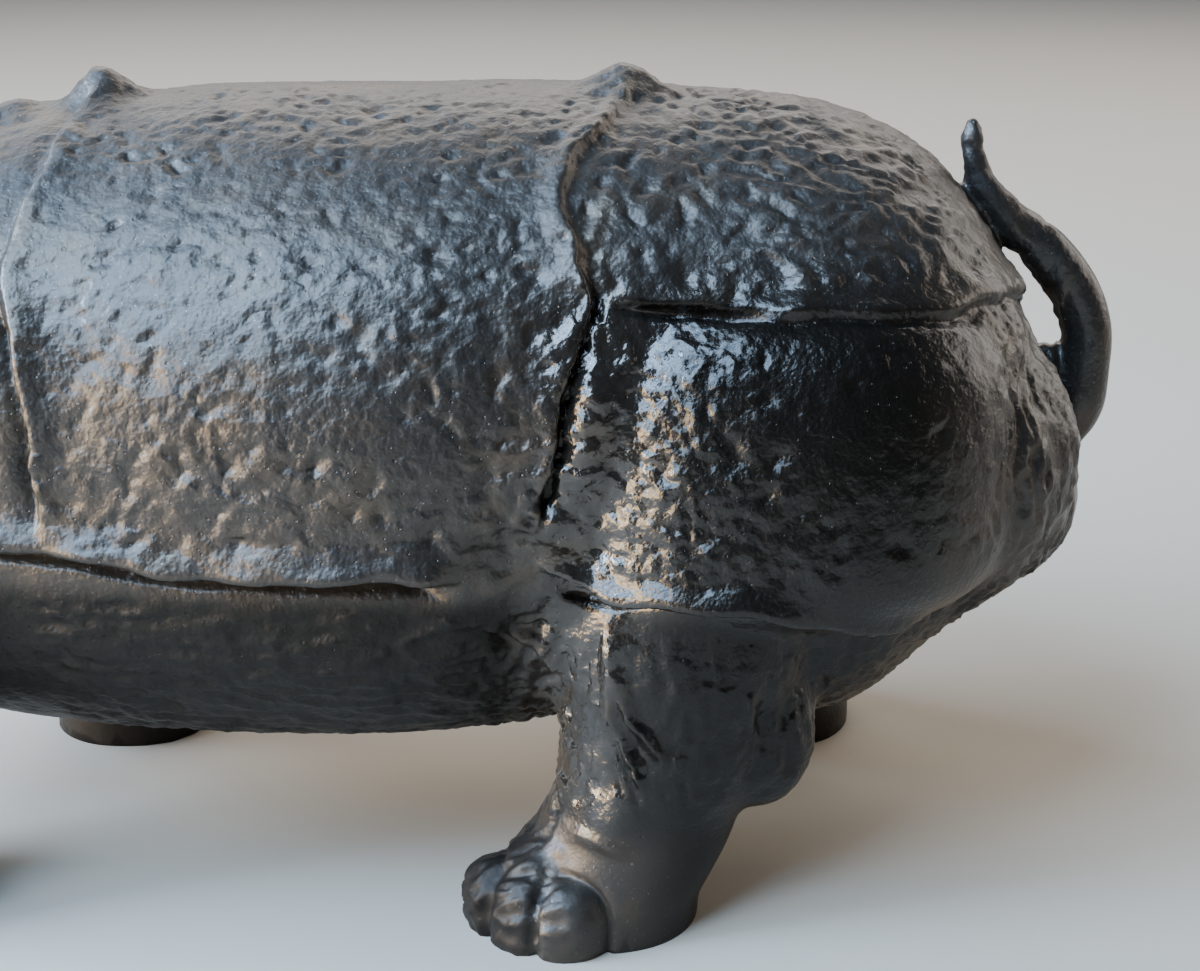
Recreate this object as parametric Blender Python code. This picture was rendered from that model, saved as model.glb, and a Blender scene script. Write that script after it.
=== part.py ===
"""A glazed ceramic rhinoceros, walking, cast in one piece: metres, +Z up, head towards -X.

The figure is built as a sculptor builds it. Oval lofts and pillows of clay are laid over each other and fused
into one skin, and the joins are worked smooth. The small forms (toes, horn, ears, tail, eyes) are pressed on.
The armour folds are cut last, with one tool that raises a lip on one side of a line and sinks a groove on the
other. Every size is a share of the back's height, written in units of the figure, which are millimetres at
its real size.
"""

import math

import bmesh
import bpy
import numpy as np
from mathutils import Matrix, Vector
from mathutils.bvhtree import BVHTree

# Driving size: the height of the back above the ground
BACK_HEIGHT = 0.328

# One unit of the figure, a millimetre at the real size
UNIT = BACK_HEIGHT / 328.0

# Fineness of the fused skin and the number of triangles kept at the end
SKIN_CELL = 2.6 * UNIT
TRIANGLES_KEPT = 9400

# How far the joins between the large masses are worked smooth
JOIN_RADIUS = 8.0 * UNIT
DETAIL_RADIUS = 1.6 * UNIT

# Glaze colour and finish
GLAZE = (0.022, 0.021, 0.020, 1.0)
GLAZE_ROUGHNESS = 0.34
GLAZE_METALLIC = 0.25

# Points round one oval section
RING = 96
LEFT, RIGHT = -1, 1


def flow(keys, count):
    """Rows between the given rows, on a smooth curve through them (Catmull-Rom)."""
    keys = np.asarray(keys, float)
    padded = np.vstack([2 * keys[0] - keys[1], keys, 2 * keys[-1] - keys[-2]])
    steps = np.linspace(0, len(keys) - 1, count)
    span = np.minimum(steps.astype(int), len(keys) - 2)
    t = (steps - span)[:, None]
    a, b, c, d = (padded[span + k] for k in range(4))
    return 0.5 * (2 * b + (c - a) * t + (2 * a - 5 * b + 4 * c - d) * t**2 + (3 * b - a - 3 * c + d) * t**3)


def mesh_object(name, points, faces):
    mesh = bpy.data.meshes.new(name)
    mesh.from_pydata([tuple(p) for p in points], [], faces)
    mesh.update()
    clay = bpy.data.objects.new(name, mesh)
    bpy.context.scene.collection.objects.link(clay)
    return clay


def loft(name, rings):
    """A closed skin through rings of equal size, with a fan over each end."""
    count = len(rings[0])
    points = [p for ring in rings for p in ring]
    faces = []
    for r in range(len(rings) - 1):
        for k in range(count):
            here, along = r * count + k, r * count + (k + 1) % count
            faces.append((here, along, along + count, here + count))
    first, last = len(points), len(points) + 1
    points += [np.mean(rings[0], axis=0), np.mean(rings[-1], axis=0)]
    end = (len(rings) - 1) * count
    for k in range(count):
        faces.append((first, (k + 1) % count, k))
        faces.append((last, end + k, end + (k + 1) % count))
    clay = mesh_object(name, points, faces)
    shell = bmesh.new()
    shell.from_mesh(clay.data)
    bmesh.ops.recalc_face_normals(shell, faces=shell.faces)
    shell.to_mesh(clay.data)
    shell.free()
    return clay


def oval(centre, side, up, wide, high, low, power):
    """One section: a superellipse, wide each way along side, high above its centre and low under it."""
    turn = np.linspace(0, 2 * math.pi, RING, endpoint=False)
    c, s = np.cos(turn), np.sin(turn)
    across = wide * np.sign(c) * np.abs(c) ** (2 / power)
    rise = np.where(s > 0, high, low) * np.sign(s) * np.abs(s) ** (2 / power)
    return np.asarray(centre) + np.outer(across, side) + np.outer(rise, up)


def profile_loft(name, stations, power):
    """A mass along X. Each station is its top point x, z, its bottom point x, z, and its half width."""
    rings = []
    for x_top, z_top, x_low, z_low, wide in flow(stations, 6 * len(stations)) * UNIT:
        top, low = np.array((x_top, 0, z_top)), np.array((x_low, 0, z_low))
        half = np.linalg.norm(top - low) / 2
        rings.append(oval((top + low) / 2, (0, 1, 0), (top - low) / (2 * half), wide, half, half, power))
    return loft(name, rings)


def column(name, side, stations, power):
    """A leg, as level sections. Each station is z, x, y, half length, half width."""
    rings = []
    for z, x, y, long, wide in flow(stations, 5 * len(stations)) * UNIT:
        rings.append(oval((x, side * y, z), (1, 0, 0), (0, 1, 0), long, wide, wide, power))
    return loft(name, rings)


def branch(name, side, stations):
    """A bent tapering mass, such as a tail or horn. Each station is x, y, z, half depth, half width."""
    rows = flow(stations, 6 * len(stations)) * UNIT
    rings = []
    for k, (x, y, z, deep, wide) in enumerate(rows):
        ahead = rows[min(k + 1, len(rows) - 1), :3] - rows[max(k - 1, 0), :3]
        up = np.cross(ahead, (0, 1, 0))
        up = up / np.linalg.norm(up)
        out = np.cross(up, ahead)
        out = out / np.linalg.norm(out)
        rings.append(oval((x, y, z), out, up, wide, deep, deep, 2.0) * (1, side, 1))
    return loft(name, rings)


def pillow(name, side, centre, radii, power=2.0, lean=0.0, swing=0.0):
    """A rounded mass. lean turns it about Y, swing about Z, in degrees."""
    rings = []
    for t in np.linspace(-math.pi / 2, math.pi / 2, 25)[1:-1]:
        level = np.sign(math.sin(t)) * abs(math.sin(t)) ** (2 / power)
        round_ = abs(math.cos(t)) ** (2 / power)
        rings.append(oval((0, 0, level), (1, 0, 0), (0, 1, 0), round_, round_, round_, power))
    b, a = math.radians(lean), math.radians(swing)
    tip = np.array([[math.cos(b), 0, math.sin(b)], [0, 1, 0], [-math.sin(b), 0, math.cos(b)]])
    turn = np.array([[math.cos(a), -math.sin(a), 0], [math.sin(a), math.cos(a), 0], [0, 0, 1]])
    placed = []
    for ring in rings:
        p = (ring * radii) @ tip.T @ turn.T + centre
        placed.append(p * (1, side, 1) * UNIT)
    return loft(name, placed)


def torso():
    stations = (
        (-208, 272, -208, 130, 62), (-196, 295, -200, 100, 88), (-165, 308, -170, 76, 108),
        (-120, 315, -120, 62, 116), (-60, 324, -60, 56, 126), (0, 328, 0, 54, 135), (60, 328, 60, 55, 139),
        (120, 329, 120, 61, 131), (180, 327, 180, 63, 122), (225, 323, 225, 61, 122),
        (255, 315, 253, 69, 119), (280, 301, 282, 94, 108), (299, 281, 310, 114, 96),
        (314, 256, 329, 124, 78), (324, 226, 343, 138, 60), (336, 197, 349, 154, 36),
    )
    return profile_loft("torso", stations, 2.25)


def neck():
    stations = (
        (-100, 315, -120, 78, 108), (-140, 311, -155, 84, 102), (-172, 307, -186, 94, 95),
        (-200, 302, -210, 108, 88), (-226, 294, -226, 124, 76), (-240, 284, -236, 146, 58),
    )
    return profile_loft("neck", stations, 2.1)


def skull():
    stations = (
        (-196, 290, -180, 156, 62), (-226, 290, -206, 146, 64), (-252, 274, -232, 137, 61),
        (-280, 246, -262, 128, 53), (-305, 219, -290, 120, 45), (-328, 207, -314, 112, 43),
        (-350, 195, -335, 107, 43), (-367, 174, -352, 107, 37), (-374, 152, -366, 118, 22),
    )
    return profile_loft("skull", stations, 2.3)


def left_hind_leg():
    stations = (
        (175, 176, 84, 56, 46), (140, 174, 88, 57, 46), (115, 175, 90, 52, 44), (98, 173, 91, 46, 41),
        (82, 171, 92, 44, 39), (66, 168, 92, 42, 38), (52, 163, 92, 40, 37), (35, 156, 92, 41, 38),
        (20, 147, 92, 43, 41), (8, 142, 92, 43, 42), (-24, 142, 92, 42, 41),
    )
    return column("left_hind_leg", LEFT, stations, 2.2)


def right_hind_leg():
    stations = (
        (175, 185, 84, 56, 46), (140, 190, 88, 56, 46), (115, 200, 90, 52, 44), (98, 208, 91, 48, 42),
        (82, 214, 92, 48, 40), (66, 217, 92, 44, 39), (52, 219, 92, 40, 38), (35, 220, 92, 40, 39),
        (20, 223, 92, 41, 41), (8, 225, 92, 42, 43), (-24, 225, 92, 41, 42),
    )
    return column("right_hind_leg", RIGHT, stations, 2.2)


def left_fore_leg():
    stations = (
        (200, -136, 74, 56, 46), (160, -138, 80, 52, 45), (125, -142, 85, 45, 42), (92, -148, 88, 40, 38),
        (62, -156, 90, 36, 36), (38, -163, 91, 37, 37), (18, -168, 92, 40, 40), (6, -169, 92, 41, 42),
        (-24, -169, 92, 40, 41),
    )
    return column("left_fore_leg", LEFT, stations, 2.2)


def right_fore_leg():
    stations = (
        (200, -132, 74, 56, 46), (160, -128, 80, 52, 45), (125, -120, 85, 45, 42), (92, -109, 88, 40, 38),
        (62, -101, 90, 36, 36), (38, -95, 91, 37, 37), (18, -89, 92, 39, 40), (6, -88, 92, 40, 41),
        (-24, -88, 92, 40, 41),
    )
    return column("right_fore_leg", RIGHT, stations, 2.2)


def thigh(side):
    """The plate over the thigh, which flares out towards its lower lip."""
    stations = (
        (270, 212, 46, 50, 52), (258, 213, 48, 80, 71), (240, 213, 50, 94, 81), (215, 212, 50, 101, 88),
        (190, 211, 50, 104, 92), (168, 210, 50, 104, 95), (154, 208, 50, 101, 93), (143, 206, 50, 92, 84),
        (132, 206, 50, 70, 66), (122, 206, 50, 36, 36),
    )
    return column("thigh", side, stations, 2.35)


def tail():
    stations = (
        (349, 0, 173, 3, 4), (348, 0, 181, 9, 9), (349, 0, 194, 12.5, 13), (351, 0, 209, 11.5, 12),
        (351, 0, 227, 10.5, 11), (343, 0, 245, 10.5, 10.5), (329, 0, 262, 10, 10), (314.5, 0, 273.5, 9, 9.5),
        (303, 0, 288, 7, 7.5), (298.5, 0, 301, 5, 5.5), (297.5, 0, 311, 4.4, 4.6), (297.5, 0, 315.5, 2, 2),
    )
    return branch("tail", RIGHT, stations)


def tail_root():
    """The web that fills the corner between the tail and the rump."""
    return pillow("tail_root", RIGHT, (336, 0, 194), (18, 10, 25), 2.2, lean=6)


def horn():
    stations = (
        (-318, 0, 184, 29, 25), (-328, 0, 202, 24, 20), (-338, 0, 218, 17, 15), (-343, 0, 236, 11, 10),
        (-342, 0, 254, 6.5, 6), (-338, 0, 267, 2.5, 2.5),
    )
    return branch("horn", RIGHT, stations)


def ear(side):
    stations = (
        (-222, 34, 272, 12, 12), (-225, 39, 288, 12, 13), (-228, 44, 303, 11, 15), (-230, 48, 317, 9, 13),
        (-230, 51, 329, 5, 8), (-229, 53, 335, 2, 3),
    )
    return branch("ear", side, stations)


def toe_places(x, y, turned):
    """Where the three toes of a foot sit, and the angle that each is swung to."""
    places = []
    for spread in (-TOE_SPREAD, 0, TOE_SPREAD):
        a = math.radians(turned + spread)
        places.append(((x - TOE_REACH * math.cos(a), y + TOE_REACH * math.sin(a), 9.5), -turned - spread))
    return places


def toes(side, x, y, turned):
    places = toe_places(x, y, turned)
    return [pillow("toe", side, centre, TOE, TOE_POWER, swing=swing) for centre, swing in places]


def large_masses():
    made = [torso(), neck(), skull(), left_hind_leg(), right_hind_leg(), left_fore_leg(), right_fore_leg()]
    for side in (LEFT, RIGHT):
        made.append(thigh(side))
        made.append(pillow("buttock", side, (278, 46, 184), (62, 60, 63), 2.1))
        made.append(pillow("shoulder", side, (-140, 58, 214), (70, 70, 96), 2.1, lean=6))
        made.append(pillow("cheek", side, (-244, 38, 190), (40, 26, 40)))
        made.append(pillow("brow", side, (-265, 37, 220), (27, 19, 13), lean=34))
    made.append(pillow("bib", RIGHT, (-212, 0, 138), (34, 50, 34)))
    made.append(pillow("left_instep", LEFT, (122, 105, 11), (33, 27, 27), 2.0, swing=-52))
    made.append(pillow("left_hock", LEFT, (204, 92, 84), (27, 25, 36), 2.3))
    made.append(pillow("right_hock", RIGHT, (244, 92, 88), (22, 25, 34), 2.3))
    return made


def small_masses():
    made = [tail(), tail_root(), horn(), ear(LEFT), ear(RIGHT)]
    for foot in FEET:
        made += toes(*foot)
    for side in (LEFT, RIGHT):
        made.append(pillow("eye", side, (-272, 50, 203), (11, 8, 8)))
        made.append(pillow("nostril_wing", side, (-354, 33, 150), (13, 9, 12)))
    return made


# The feet: side, place x and y, and how far each is turned outwards, in degrees
FEET = ((LEFT, 133, 92, 55), (RIGHT, 225, 92, 24), (LEFT, -169, 92, 26), (RIGHT, -80, 92, 30))

# A toe's radii out from the foot, across it and up, its distance from the foot's middle, the angle between
# two, how square its sections are, and how deep the groove between two toes and the crease round one are
TOE = (16, 17.5, 19.5)
TOE_REACH = 34
TOE_SPREAD = 29
TOE_POWER = 2.25
TOE_GROOVE = 2.4
TOE_CREASE = 2.0

# The armour folds of the left side, cut in mirror image on the right. Each is the side of its line that is
# raised (+1 is left of the way it runs, seen from outside), the lip's height and reach, the groove's depth
# and reach, how far the ground under it is set back, and the line itself
FOLDS = {
    "hip_upper": (-1, 4.0, 8.5, 1.3, 8, 0.0, (
        (160, 0, 334), (155, -20, 328), (148, -43, 321), (141, -58, 316), (134, -70, 311), (130, -83, 304),
        (132, -92, 296), (135, -98, 289), (138, -105, 281), (142, -111, 271), (140, -120, 258))),
    "hip_lower": (-1, 3.0, 10, 7.0, 1.9, 0.5, (
        (134, -106, 283), (142, -115, 270), (139, -120, 260), (133, -127, 242), (129, -131, 224),
        (125, -133, 205), (119, -133, 178))),
    "rump_front": (1, 1.2, 9, 0.4, 3.0, 0.3, (
        (142, -113, 266), (158, -111, 265), (180, -109, 263), (203, -112, 263), (214, -113, 262))),
    "rump_back": (1, 3.0, 12, 2.6, 4.0, 0.8, (
        (195, -111, 263), (214, -113, 262), (240, -110, 262), (256, -106, 261), (272, -99, 259),
        (283, -91, 258), (292, -82, 259), (301, -70, 258), (309, -54, 256), (318, -34, 250), (326, -4, 240))),
    "thigh_lip": (1, 6.0, 7, 2.5, 4.5, 3.0, (
        (116, -130, 172), (124, -128, 164), (136, -125, 158), (150, -131, 154), (170, -139, 155),
        (190, -142, 154), (220, -141, 150), (240, -133, 145), (256, -120, 141), (271, -106, 137))),
    "rim": (1, 7.5, 11, 2.0, 4.5, 5.5, (
        (-118, -120, 173), (-88, -121, 172), (-56, -126, 170), (-25, -130, 165), (6, -134, 164),
        (30, -136, 163), (45, -137, 165), (67, -137, 165), (93, -133, 160))),
    "upper_shoulder": (1, 3.4, 14, 2.4, 8, 0.0, (
        (-59, 0, 335), (-69, -24, 323), (-75, -67, 308), (-82, -91, 290), (-85, -104, 274),
        (-81, -116, 256), (-77, -124, 233))),
    "lower_shoulder": (1, 3.6, 9, 5.0, 4, 0.5, (
        (-85, -104, 274), (-81, -116, 256), (-77, -124, 233), (-74, -128, 205), (-72, -130, 190),
        (-74, -129, 176))),
    "shoulder_knob": (-1, 2.4, 10, 1.6, 5, 0.0, (
        (-100, 0, 320), (-106, -30, 316), (-113, -60, 306), (-120, -84, 290))),
    "before_shoulder": (1, 5.0, 20, 5.5, 8, 1.5, (
        (-168, -6, 311), (-174, -52, 299), (-183, -84, 266), (-192, -98, 226), (-196, -96, 186),
        (-196, -78, 148), (-194, -46, 116), (-194, -2, 104))),
    "behind_head": (1, 4.5, 18, 5.5, 8, 1.0, (
        (-206, -2, 300), (-208, -40, 292), (-212, -70, 262), (-220, -80, 222), (-226, -76, 182),
        (-228, -58, 146), (-228, -26, 122), (-228, -2, 114))),
    "shoulder_lip": (1, 3.6, 13, 3.8, 7, 1.5, (
        (-104, -124, 166), (-118, -128, 154), (-136, -130, 141), (-162, -124, 144), (-182, -104, 152),
        (-190, -76, 158))),
    "web": (1, 2.6, 7, 2.6, 6, 0.0, (
        (88, -124, 144), (99, -123, 140), (110, -121, 132), (122, -115, 118), (128, -108, 104))),
    "jaw": (1, 2.0, 14, 2.4, 8, 0.0, (
        (-214, -62, 176), (-240, -62, 160), (-268, -52, 146), (-292, -42, 140))),
    "mouth": (1, 1.4, 8, 3.0, 2.8, 0.0, (
        (-306, -42, 143), (-324, -43, 136), (-344, -42, 130), (-362, -34, 127), (-372, -16, 127),
        (-374, -1, 126))),
    "upper_lid": (1, 2.0, 4.5, 1.6, 2.4, 0.0, (
        (-256, -58, 201), (-263, -58, 210), (-274, -57, 212), (-287, -51, 204))),
    "lower_lid": (-1, 1.6, 4.0, 1.4, 2.4, 0.0, (
        (-257, -58, 198), (-266, -58, 193), (-277, -55, 193), (-287, -51, 200))),
}

# Cords under the skin of the left side, or soft furrows where the height is negative: width, height and line
CORDS = {
    "shin": (4.0, 2.6, (
        (146, -122, 149), (147, -128, 134), (146, -130, 121), (145, -129, 107), (143, -125, 92))),
    "tendon_rear": (2.2, 3.0, (
        (148, -129, 132), (150, -130, 122), (152, -129, 113), (156, -128, 103), (162, -133, 95),
        (169, -133, 85), (171, -132, 76))),
    "tendon_middle": (1.8, 2.2, (
        (147, -129, 116), (148, -128, 105), (150, -128, 96), (154, -129, 85), (161, -130, 72),
        (164, -130, 66))),
    "tendon_front": (1.5, 1.6, (
        (145, -128, 104), (148, -128, 91), (151, -130, 80), (156, -129, 66), (158, -129, 60))),
    "rear_valley": (2.2, -1.7, (
        (150, -130, 119), (152, -127, 106), (155, -127, 97), (161, -128, 86), (168, -131, 76))),
    "front_valley": (1.6, -1.2, (
        (146, -129, 103), (148, -129, 94), (152, -130, 85), (155, -130, 76), (160, -130, 65))),
    "thigh_crease": (2.0, -1.4, ((175, -136, 201), (176, -136, 191), (178, -136, 180), (178, -136, 172))),
    "thigh_crease_behind": (1.8, -1.0, ((182, -136, 198), (184, -136, 187), (182, -136, 175))),
    "instep": (3.0, 1.8, (
        (128, -116, 50), (134, -119, 48), (142, -124, 47), (152, -128, 44), (158, -130, 42))),
    "hock_ridge": (2.4, 1.8, ((200, -126, 118), (201, -126, 110), (202, -124, 102), (204, -121, 92))),
    "hock_groove": (3.0, -1.8, ((219, -112, 104), (218, -113, 94), (218, -113, 84), (220, -112, 70))),
    "thigh_front": (9.0, 3.6, ((143, -126, 256), (142, -130, 236), (139, -132, 212), (134, -133, 188))),
    "under_tail": (6.0, -1.2, ((341, -2, 168), (331, -2, 142), (312, -2, 120))),
    "elbow": (9.0, 3.0, ((-102, -118, 150), (-104, -116, 134), (-112, -114, 118))),
    "rear_furrow": (8.0, -2.2, (
        (312, -92, 256), (320, -86, 226), (322, -80, 200), (320, -74, 172), (308, -68, 140))),
    "knee_upper": (5.0, 1.6, ((-120, -126, 98), (-140, -129, 94), (-164, -126, 94), (-182, -108, 98))),
    "knee_lower": (4.5, 1.4, ((-128, -126, 84), (-148, -128, 79), (-170, -124, 80), (-186, -106, 84))),
    "cheek_furrow": (6.0, -2.0, ((-236, -64, 214), (-246, -64, 190), (-262, -58, 168))),
    "nose_ring": (4.5, 1.8, ((-304, -36, 190), (-310, -26, 208), (-308, -2, 220))),
}

# Trenches with steep sides, on both sides of the body: half width, depth and line
TRENCHES = {
    "rump": (2.2, 4.0, (
        (142, -113, 266), (158, -111, 265), (180, -109, 263), (203, -112, 263), (214, -113, 262))),
    "rim": (3.6, 4.5, (
        (-118, -120, 167), (-88, -120, 168), (-56, -125, 165), (-25, -130, 161), (6, -133, 160),
        (45, -137, 160), (67, -136, 160), (91, -132, 155))),
    "thigh_lip": (2.4, 3.0, (
        (122, -128, 162), (135, -124, 153), (154, -132, 152), (180, -140, 153), (204, -141, 151),
        (219, -138, 147), (235, -130, 142), (254, -108, 132))),
}

# Hollows pressed into both sides, or knobs where the depth is negative: centre, radii and depth
HOLLOWS = {
    "ear": ((-240, -48, 310), (8, 7, 18), 6.0),
    "nostril": ((-364, -37, 151), (7, 7, 4.5), 6.0),
    "temple": ((-252, -60, 232), (14, 14, 12), 4.0),
    "flank": ((106, -132, 174), (12, 12, 12), 3.0),
    "behind_knee": ((208, -120, 99), (5, 6, 8), 3.0),
    "groin": ((113, -124, 138), (10, 10, 9), 4.5),
    "ankle_pad": ((146, -127, 57), (9, 9, 10), -3.0),
    "crease_knob": ((219, -109, 274), (6, 7, 9), -3.2),
    "hip_knob": ((153, 0, 329), (15, 14, 14), -5.4),
    "shoulder_knob": ((-62, 0, 327), (13, 13, 13), -7.5),
    "neck_knob": ((-98, 0, 317), (12, 12, 12), -2.5),
}

# A fold fades out over this length at each end, or this share of it if it is short, and its line wavers by
# this much. Its wall is climbed over twice the wall's width, which is at least this share of the groove's,
# and its lip rolls over within the roll's
FADE = 22.0
FADE_SHARE = 0.3
WAVER = 1.2
WALL = 1.6
WALL_SHARE = 0.4
ROLL = 6.0


def fuse(name, masses, cell):
    """The masses as one skin of even cells."""
    skin = masses[0]
    skin.name = name
    shell = bmesh.new()
    for mass in masses:
        shell.from_mesh(mass.data)
    shell.to_mesh(skin.data)
    shell.free()
    for mass in masses[1:]:
        bpy.data.objects.remove(mass)
    remesh = skin.modifiers.new("fuse", "REMESH")
    remesh.mode = "VOXEL"
    remesh.voxel_size = cell
    apply_modifiers(skin)
    return skin


def apply_modifiers(clay):
    graph = bpy.context.evaluated_depsgraph_get()
    made = bpy.data.meshes.new_from_object(clay.evaluated_get(graph))
    clay.modifiers.clear()
    clay.data = made


def smooth(clay, radius, cell):
    """Works the surface smooth over about a radius."""
    worked = clay.modifiers.new("smooth", "SMOOTH")
    worked.factor = 0.5
    worked.iterations = max(1, round((radius / cell) ** 2))
    apply_modifiers(clay)


class Skin:
    """The points and outward directions of a clay skin, as arrays, with a tree to find its surface."""

    def __init__(self, clay):
        self.mesh = clay.data
        self.points = np.empty(3 * len(self.mesh.vertices))
        self.mesh.vertices.foreach_get("co", self.points)
        self.points = self.points.reshape(-1, 3)
        self.out = np.empty(3 * len(self.mesh.vertices))
        self.mesh.vertices.foreach_get("normal", self.out)
        self.out = self.out.reshape(-1, 3)
        self.tree = BVHTree.FromPolygons(self.points.tolist(), [p.vertices[:] for p in self.mesh.polygons])
        self.push = np.zeros(len(self.points))

    def snap(self, point):
        """The nearest place of the surface and the way it faces."""
        place, facing, _, _ = self.tree.find_nearest(Vector(point))
        return np.array(place), np.array(facing)

    def apply(self):
        """Moves every point by its push, along the way it faces."""
        moved = self.points + self.out * self.push[:, None]
        self.mesh.vertices.foreach_set("co", moved.ravel())
        self.mesh.update()


class Line:
    """A smooth line laid on a skin: places, ways along it and ways to its left, seen from outside."""

    def __init__(self, skin, keys, side):
        keys = np.array(keys, float) * (1, -side, 1) * UNIT
        length = np.linalg.norm(np.diff(keys, axis=0), axis=1).sum()
        laid = [skin.snap(p) for p in flow(keys, max(8, int(length / (2.0 * UNIT))))]
        self.places = np.array([place for place, _ in laid])
        facing = np.array([facing for _, facing in laid])
        for _ in range(4):
            facing[1:-1] = (facing[:-2] + 2 * facing[1:-1] + facing[2:]) / 4
        self.facing = facing / np.linalg.norm(facing, axis=1)[:, None]
        along = np.gradient(self.places, axis=0)
        along -= self.facing * (along * self.facing).sum(axis=1)[:, None]
        self.along = along / np.linalg.norm(along, axis=1)[:, None]
        self.leftward = np.cross(self.facing, self.along) * -side
        self.run = np.concatenate([[0], np.linalg.norm(np.diff(self.places, axis=0), axis=1).cumsum()])

    def near(self, skin, reach):
        """The points of the skin near the line: their indices, distance to its left, and strength there."""
        low, high = self.places.min(axis=0) - reach, self.places.max(axis=0) + reach
        chosen = np.flatnonzero(((skin.points > low) & (skin.points < high)).all(axis=1))
        best = np.empty(len(chosen), int)
        for start in range(0, len(chosen), 20000):
            part = skin.points[chosen[start:start + 20000]]
            apart = ((part[:, None, :] - self.places[None]) ** 2).sum(axis=2)
            best[start:start + 20000] = apart.argmin(axis=1)
        away = skin.points[chosen] - self.places[best]
        off = (away * self.leftward[best]).sum(axis=1)
        rise = (away * self.facing[best]).sum(axis=1)
        past = (away * self.along[best]).sum(axis=1)
        run = self.run[best] + past
        agree = (skin.out[chosen] * self.facing[best]).sum(axis=1)
        fade = min(FADE * UNIT, FADE_SHARE * self.run[-1])
        strength = np.clip(run / fade, 0, 1) * np.clip((self.run[-1] - run) / fade, 0, 1)
        strength *= np.clip((agree - 0.1) / 0.4, 0, 1) * (np.abs(rise) < 30 * UNIT)
        strength = strength * strength * (3 - 2 * strength)
        return chosen, off, run, strength


def waver(run, seed):
    """A slow unsteadiness of the hand along a line, between -1 and 1."""
    step = run / UNIT
    return 0.5 * np.sin(step / 11.0 + seed) + 0.5 * np.sin(step / 5.3 + 2.1 * seed)


def cut_fold(skin, keys, side, raised, lip, reach, groove, sink, set_back, seed):
    """Raises a rolled lip on one side of a line and sinks a groove under it on the other."""
    line = Line(skin, keys, side)
    chosen, off, run, strength = line.near(skin, 60 * UNIT)
    off = raised * off / UNIT + WAVER * waver(run, seed)
    climb = np.clip(off / ROLL, 0, 1)
    unsteady = 1 + 0.2 * waver(run, seed + 3)
    above = lip * np.sqrt(climb * (2 - climb)) * np.exp(-(off / reach) ** 2) * unsteady
    under = -groove * np.exp(np.minimum(off, 0) / sink) - set_back * np.exp(-(off / 32) ** 2)
    wall = np.clip(off / (2 * max(WALL, WALL_SHARE * sink)) + 0.5, 0, 1)
    wall = wall * wall * (3 - 2 * wall)
    skin.push[chosen] += (under + (above - under) * wall) * strength * UNIT


def lay_cord(skin, keys, side, wide, high):
    line = Line(skin, keys, side)
    chosen, off, run, strength = line.near(skin, 3 * wide * UNIT)
    skin.push[chosen] += high * np.exp(-(off / (wide * UNIT)) ** 2) * strength * UNIT


def sink_trench(skin, keys, side, wide, deep, seed):
    line = Line(skin, keys, side)
    chosen, off, run, strength = line.near(skin, 3 * wide * UNIT)
    off = off / UNIT + 0.5 * WAVER * waver(run, seed)
    skin.push[chosen] -= deep * np.exp(-(off / wide) ** 4) * strength * UNIT


def press_hollow(skin, centre, side, radii, deep):
    centre = np.array(centre) * (1, -side, 1) * UNIT
    apart = (skin.points - centre) / (np.array(radii) * UNIT)
    skin.push -= deep * UNIT * np.exp(-(apart**2).sum(axis=1))


def part_toes(skin):
    """Sinks a groove between every two toes and a crease round each."""
    low = np.flatnonzero(skin.points[:, 2] < 60 * UNIT)
    inside = []
    for side, x, y, turned in FEET:
        for centre, swing in toe_places(x, y, turned):
            away = skin.points[low] / UNIT * (1, side, 1) - centre
            a = math.radians(swing)
            out = away[:, 0] * math.cos(a) + away[:, 1] * math.sin(a)
            across = away[:, 1] * math.cos(a) - away[:, 0] * math.sin(a)
            shares = np.abs(np.stack([out / TOE[0], across / TOE[1], away[:, 2] / TOE[2]]))
            inside.append((shares**TOE_POWER).sum(axis=0) ** (1 / TOE_POWER))
    inside = np.sort(inside, axis=0)
    near = np.clip((1.5 - inside[0]) / 0.3, 0, 1)
    groove = np.exp(-((inside[1] - inside[0]) / 0.12) ** 2) * near
    crease = np.exp(-((inside[0] - 1.12) / 0.06) ** 2) * np.clip((inside[1] - inside[0]) / 0.15, 0, 1)
    skin.push[low] -= (TOE_GROOVE * groove + TOE_CREASE * crease) * UNIT


def carve(clay):
    skin = Skin(clay)
    part_toes(skin)
    for side in (LEFT, RIGHT):
        for seed, (raised, lip, reach, groove, sink, set_back, keys) in enumerate(FOLDS.values()):
            cut_fold(skin, keys, side, raised, lip, reach, groove, sink, set_back, seed + side)
        for wide, high, keys in CORDS.values():
            lay_cord(skin, keys, side, wide, high)
        for seed, (wide, deep, keys) in enumerate(TRENCHES.values()):
            sink_trench(skin, keys, side, wide, deep, seed + side)
        for centre, radii, deep in HOLLOWS.values():
            press_hollow(skin, centre, side, radii, deep)
    skin.apply()


def flatten_soles(clay):
    """Cuts the feet off level, so that the soles lie on the ground."""
    shell = bmesh.new()
    shell.from_mesh(clay.data)
    cut = bmesh.ops.bisect_plane(
        shell, geom=shell.verts[:] + shell.edges[:] + shell.faces[:], dist=1e-7, plane_co=(0, 0, 0),
        plane_no=(0, 0, -1), clear_outer=True,
    )
    rims = [e for e in cut["geom_cut"] if isinstance(e, bmesh.types.BMEdge)]
    bmesh.ops.holes_fill(shell, edges=rims, sides=0)
    bmesh.ops.triangulate(shell, faces=shell.faces[:])
    bmesh.ops.recalc_face_normals(shell, faces=shell.faces)
    shell.to_mesh(clay.data)
    shell.free()


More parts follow.
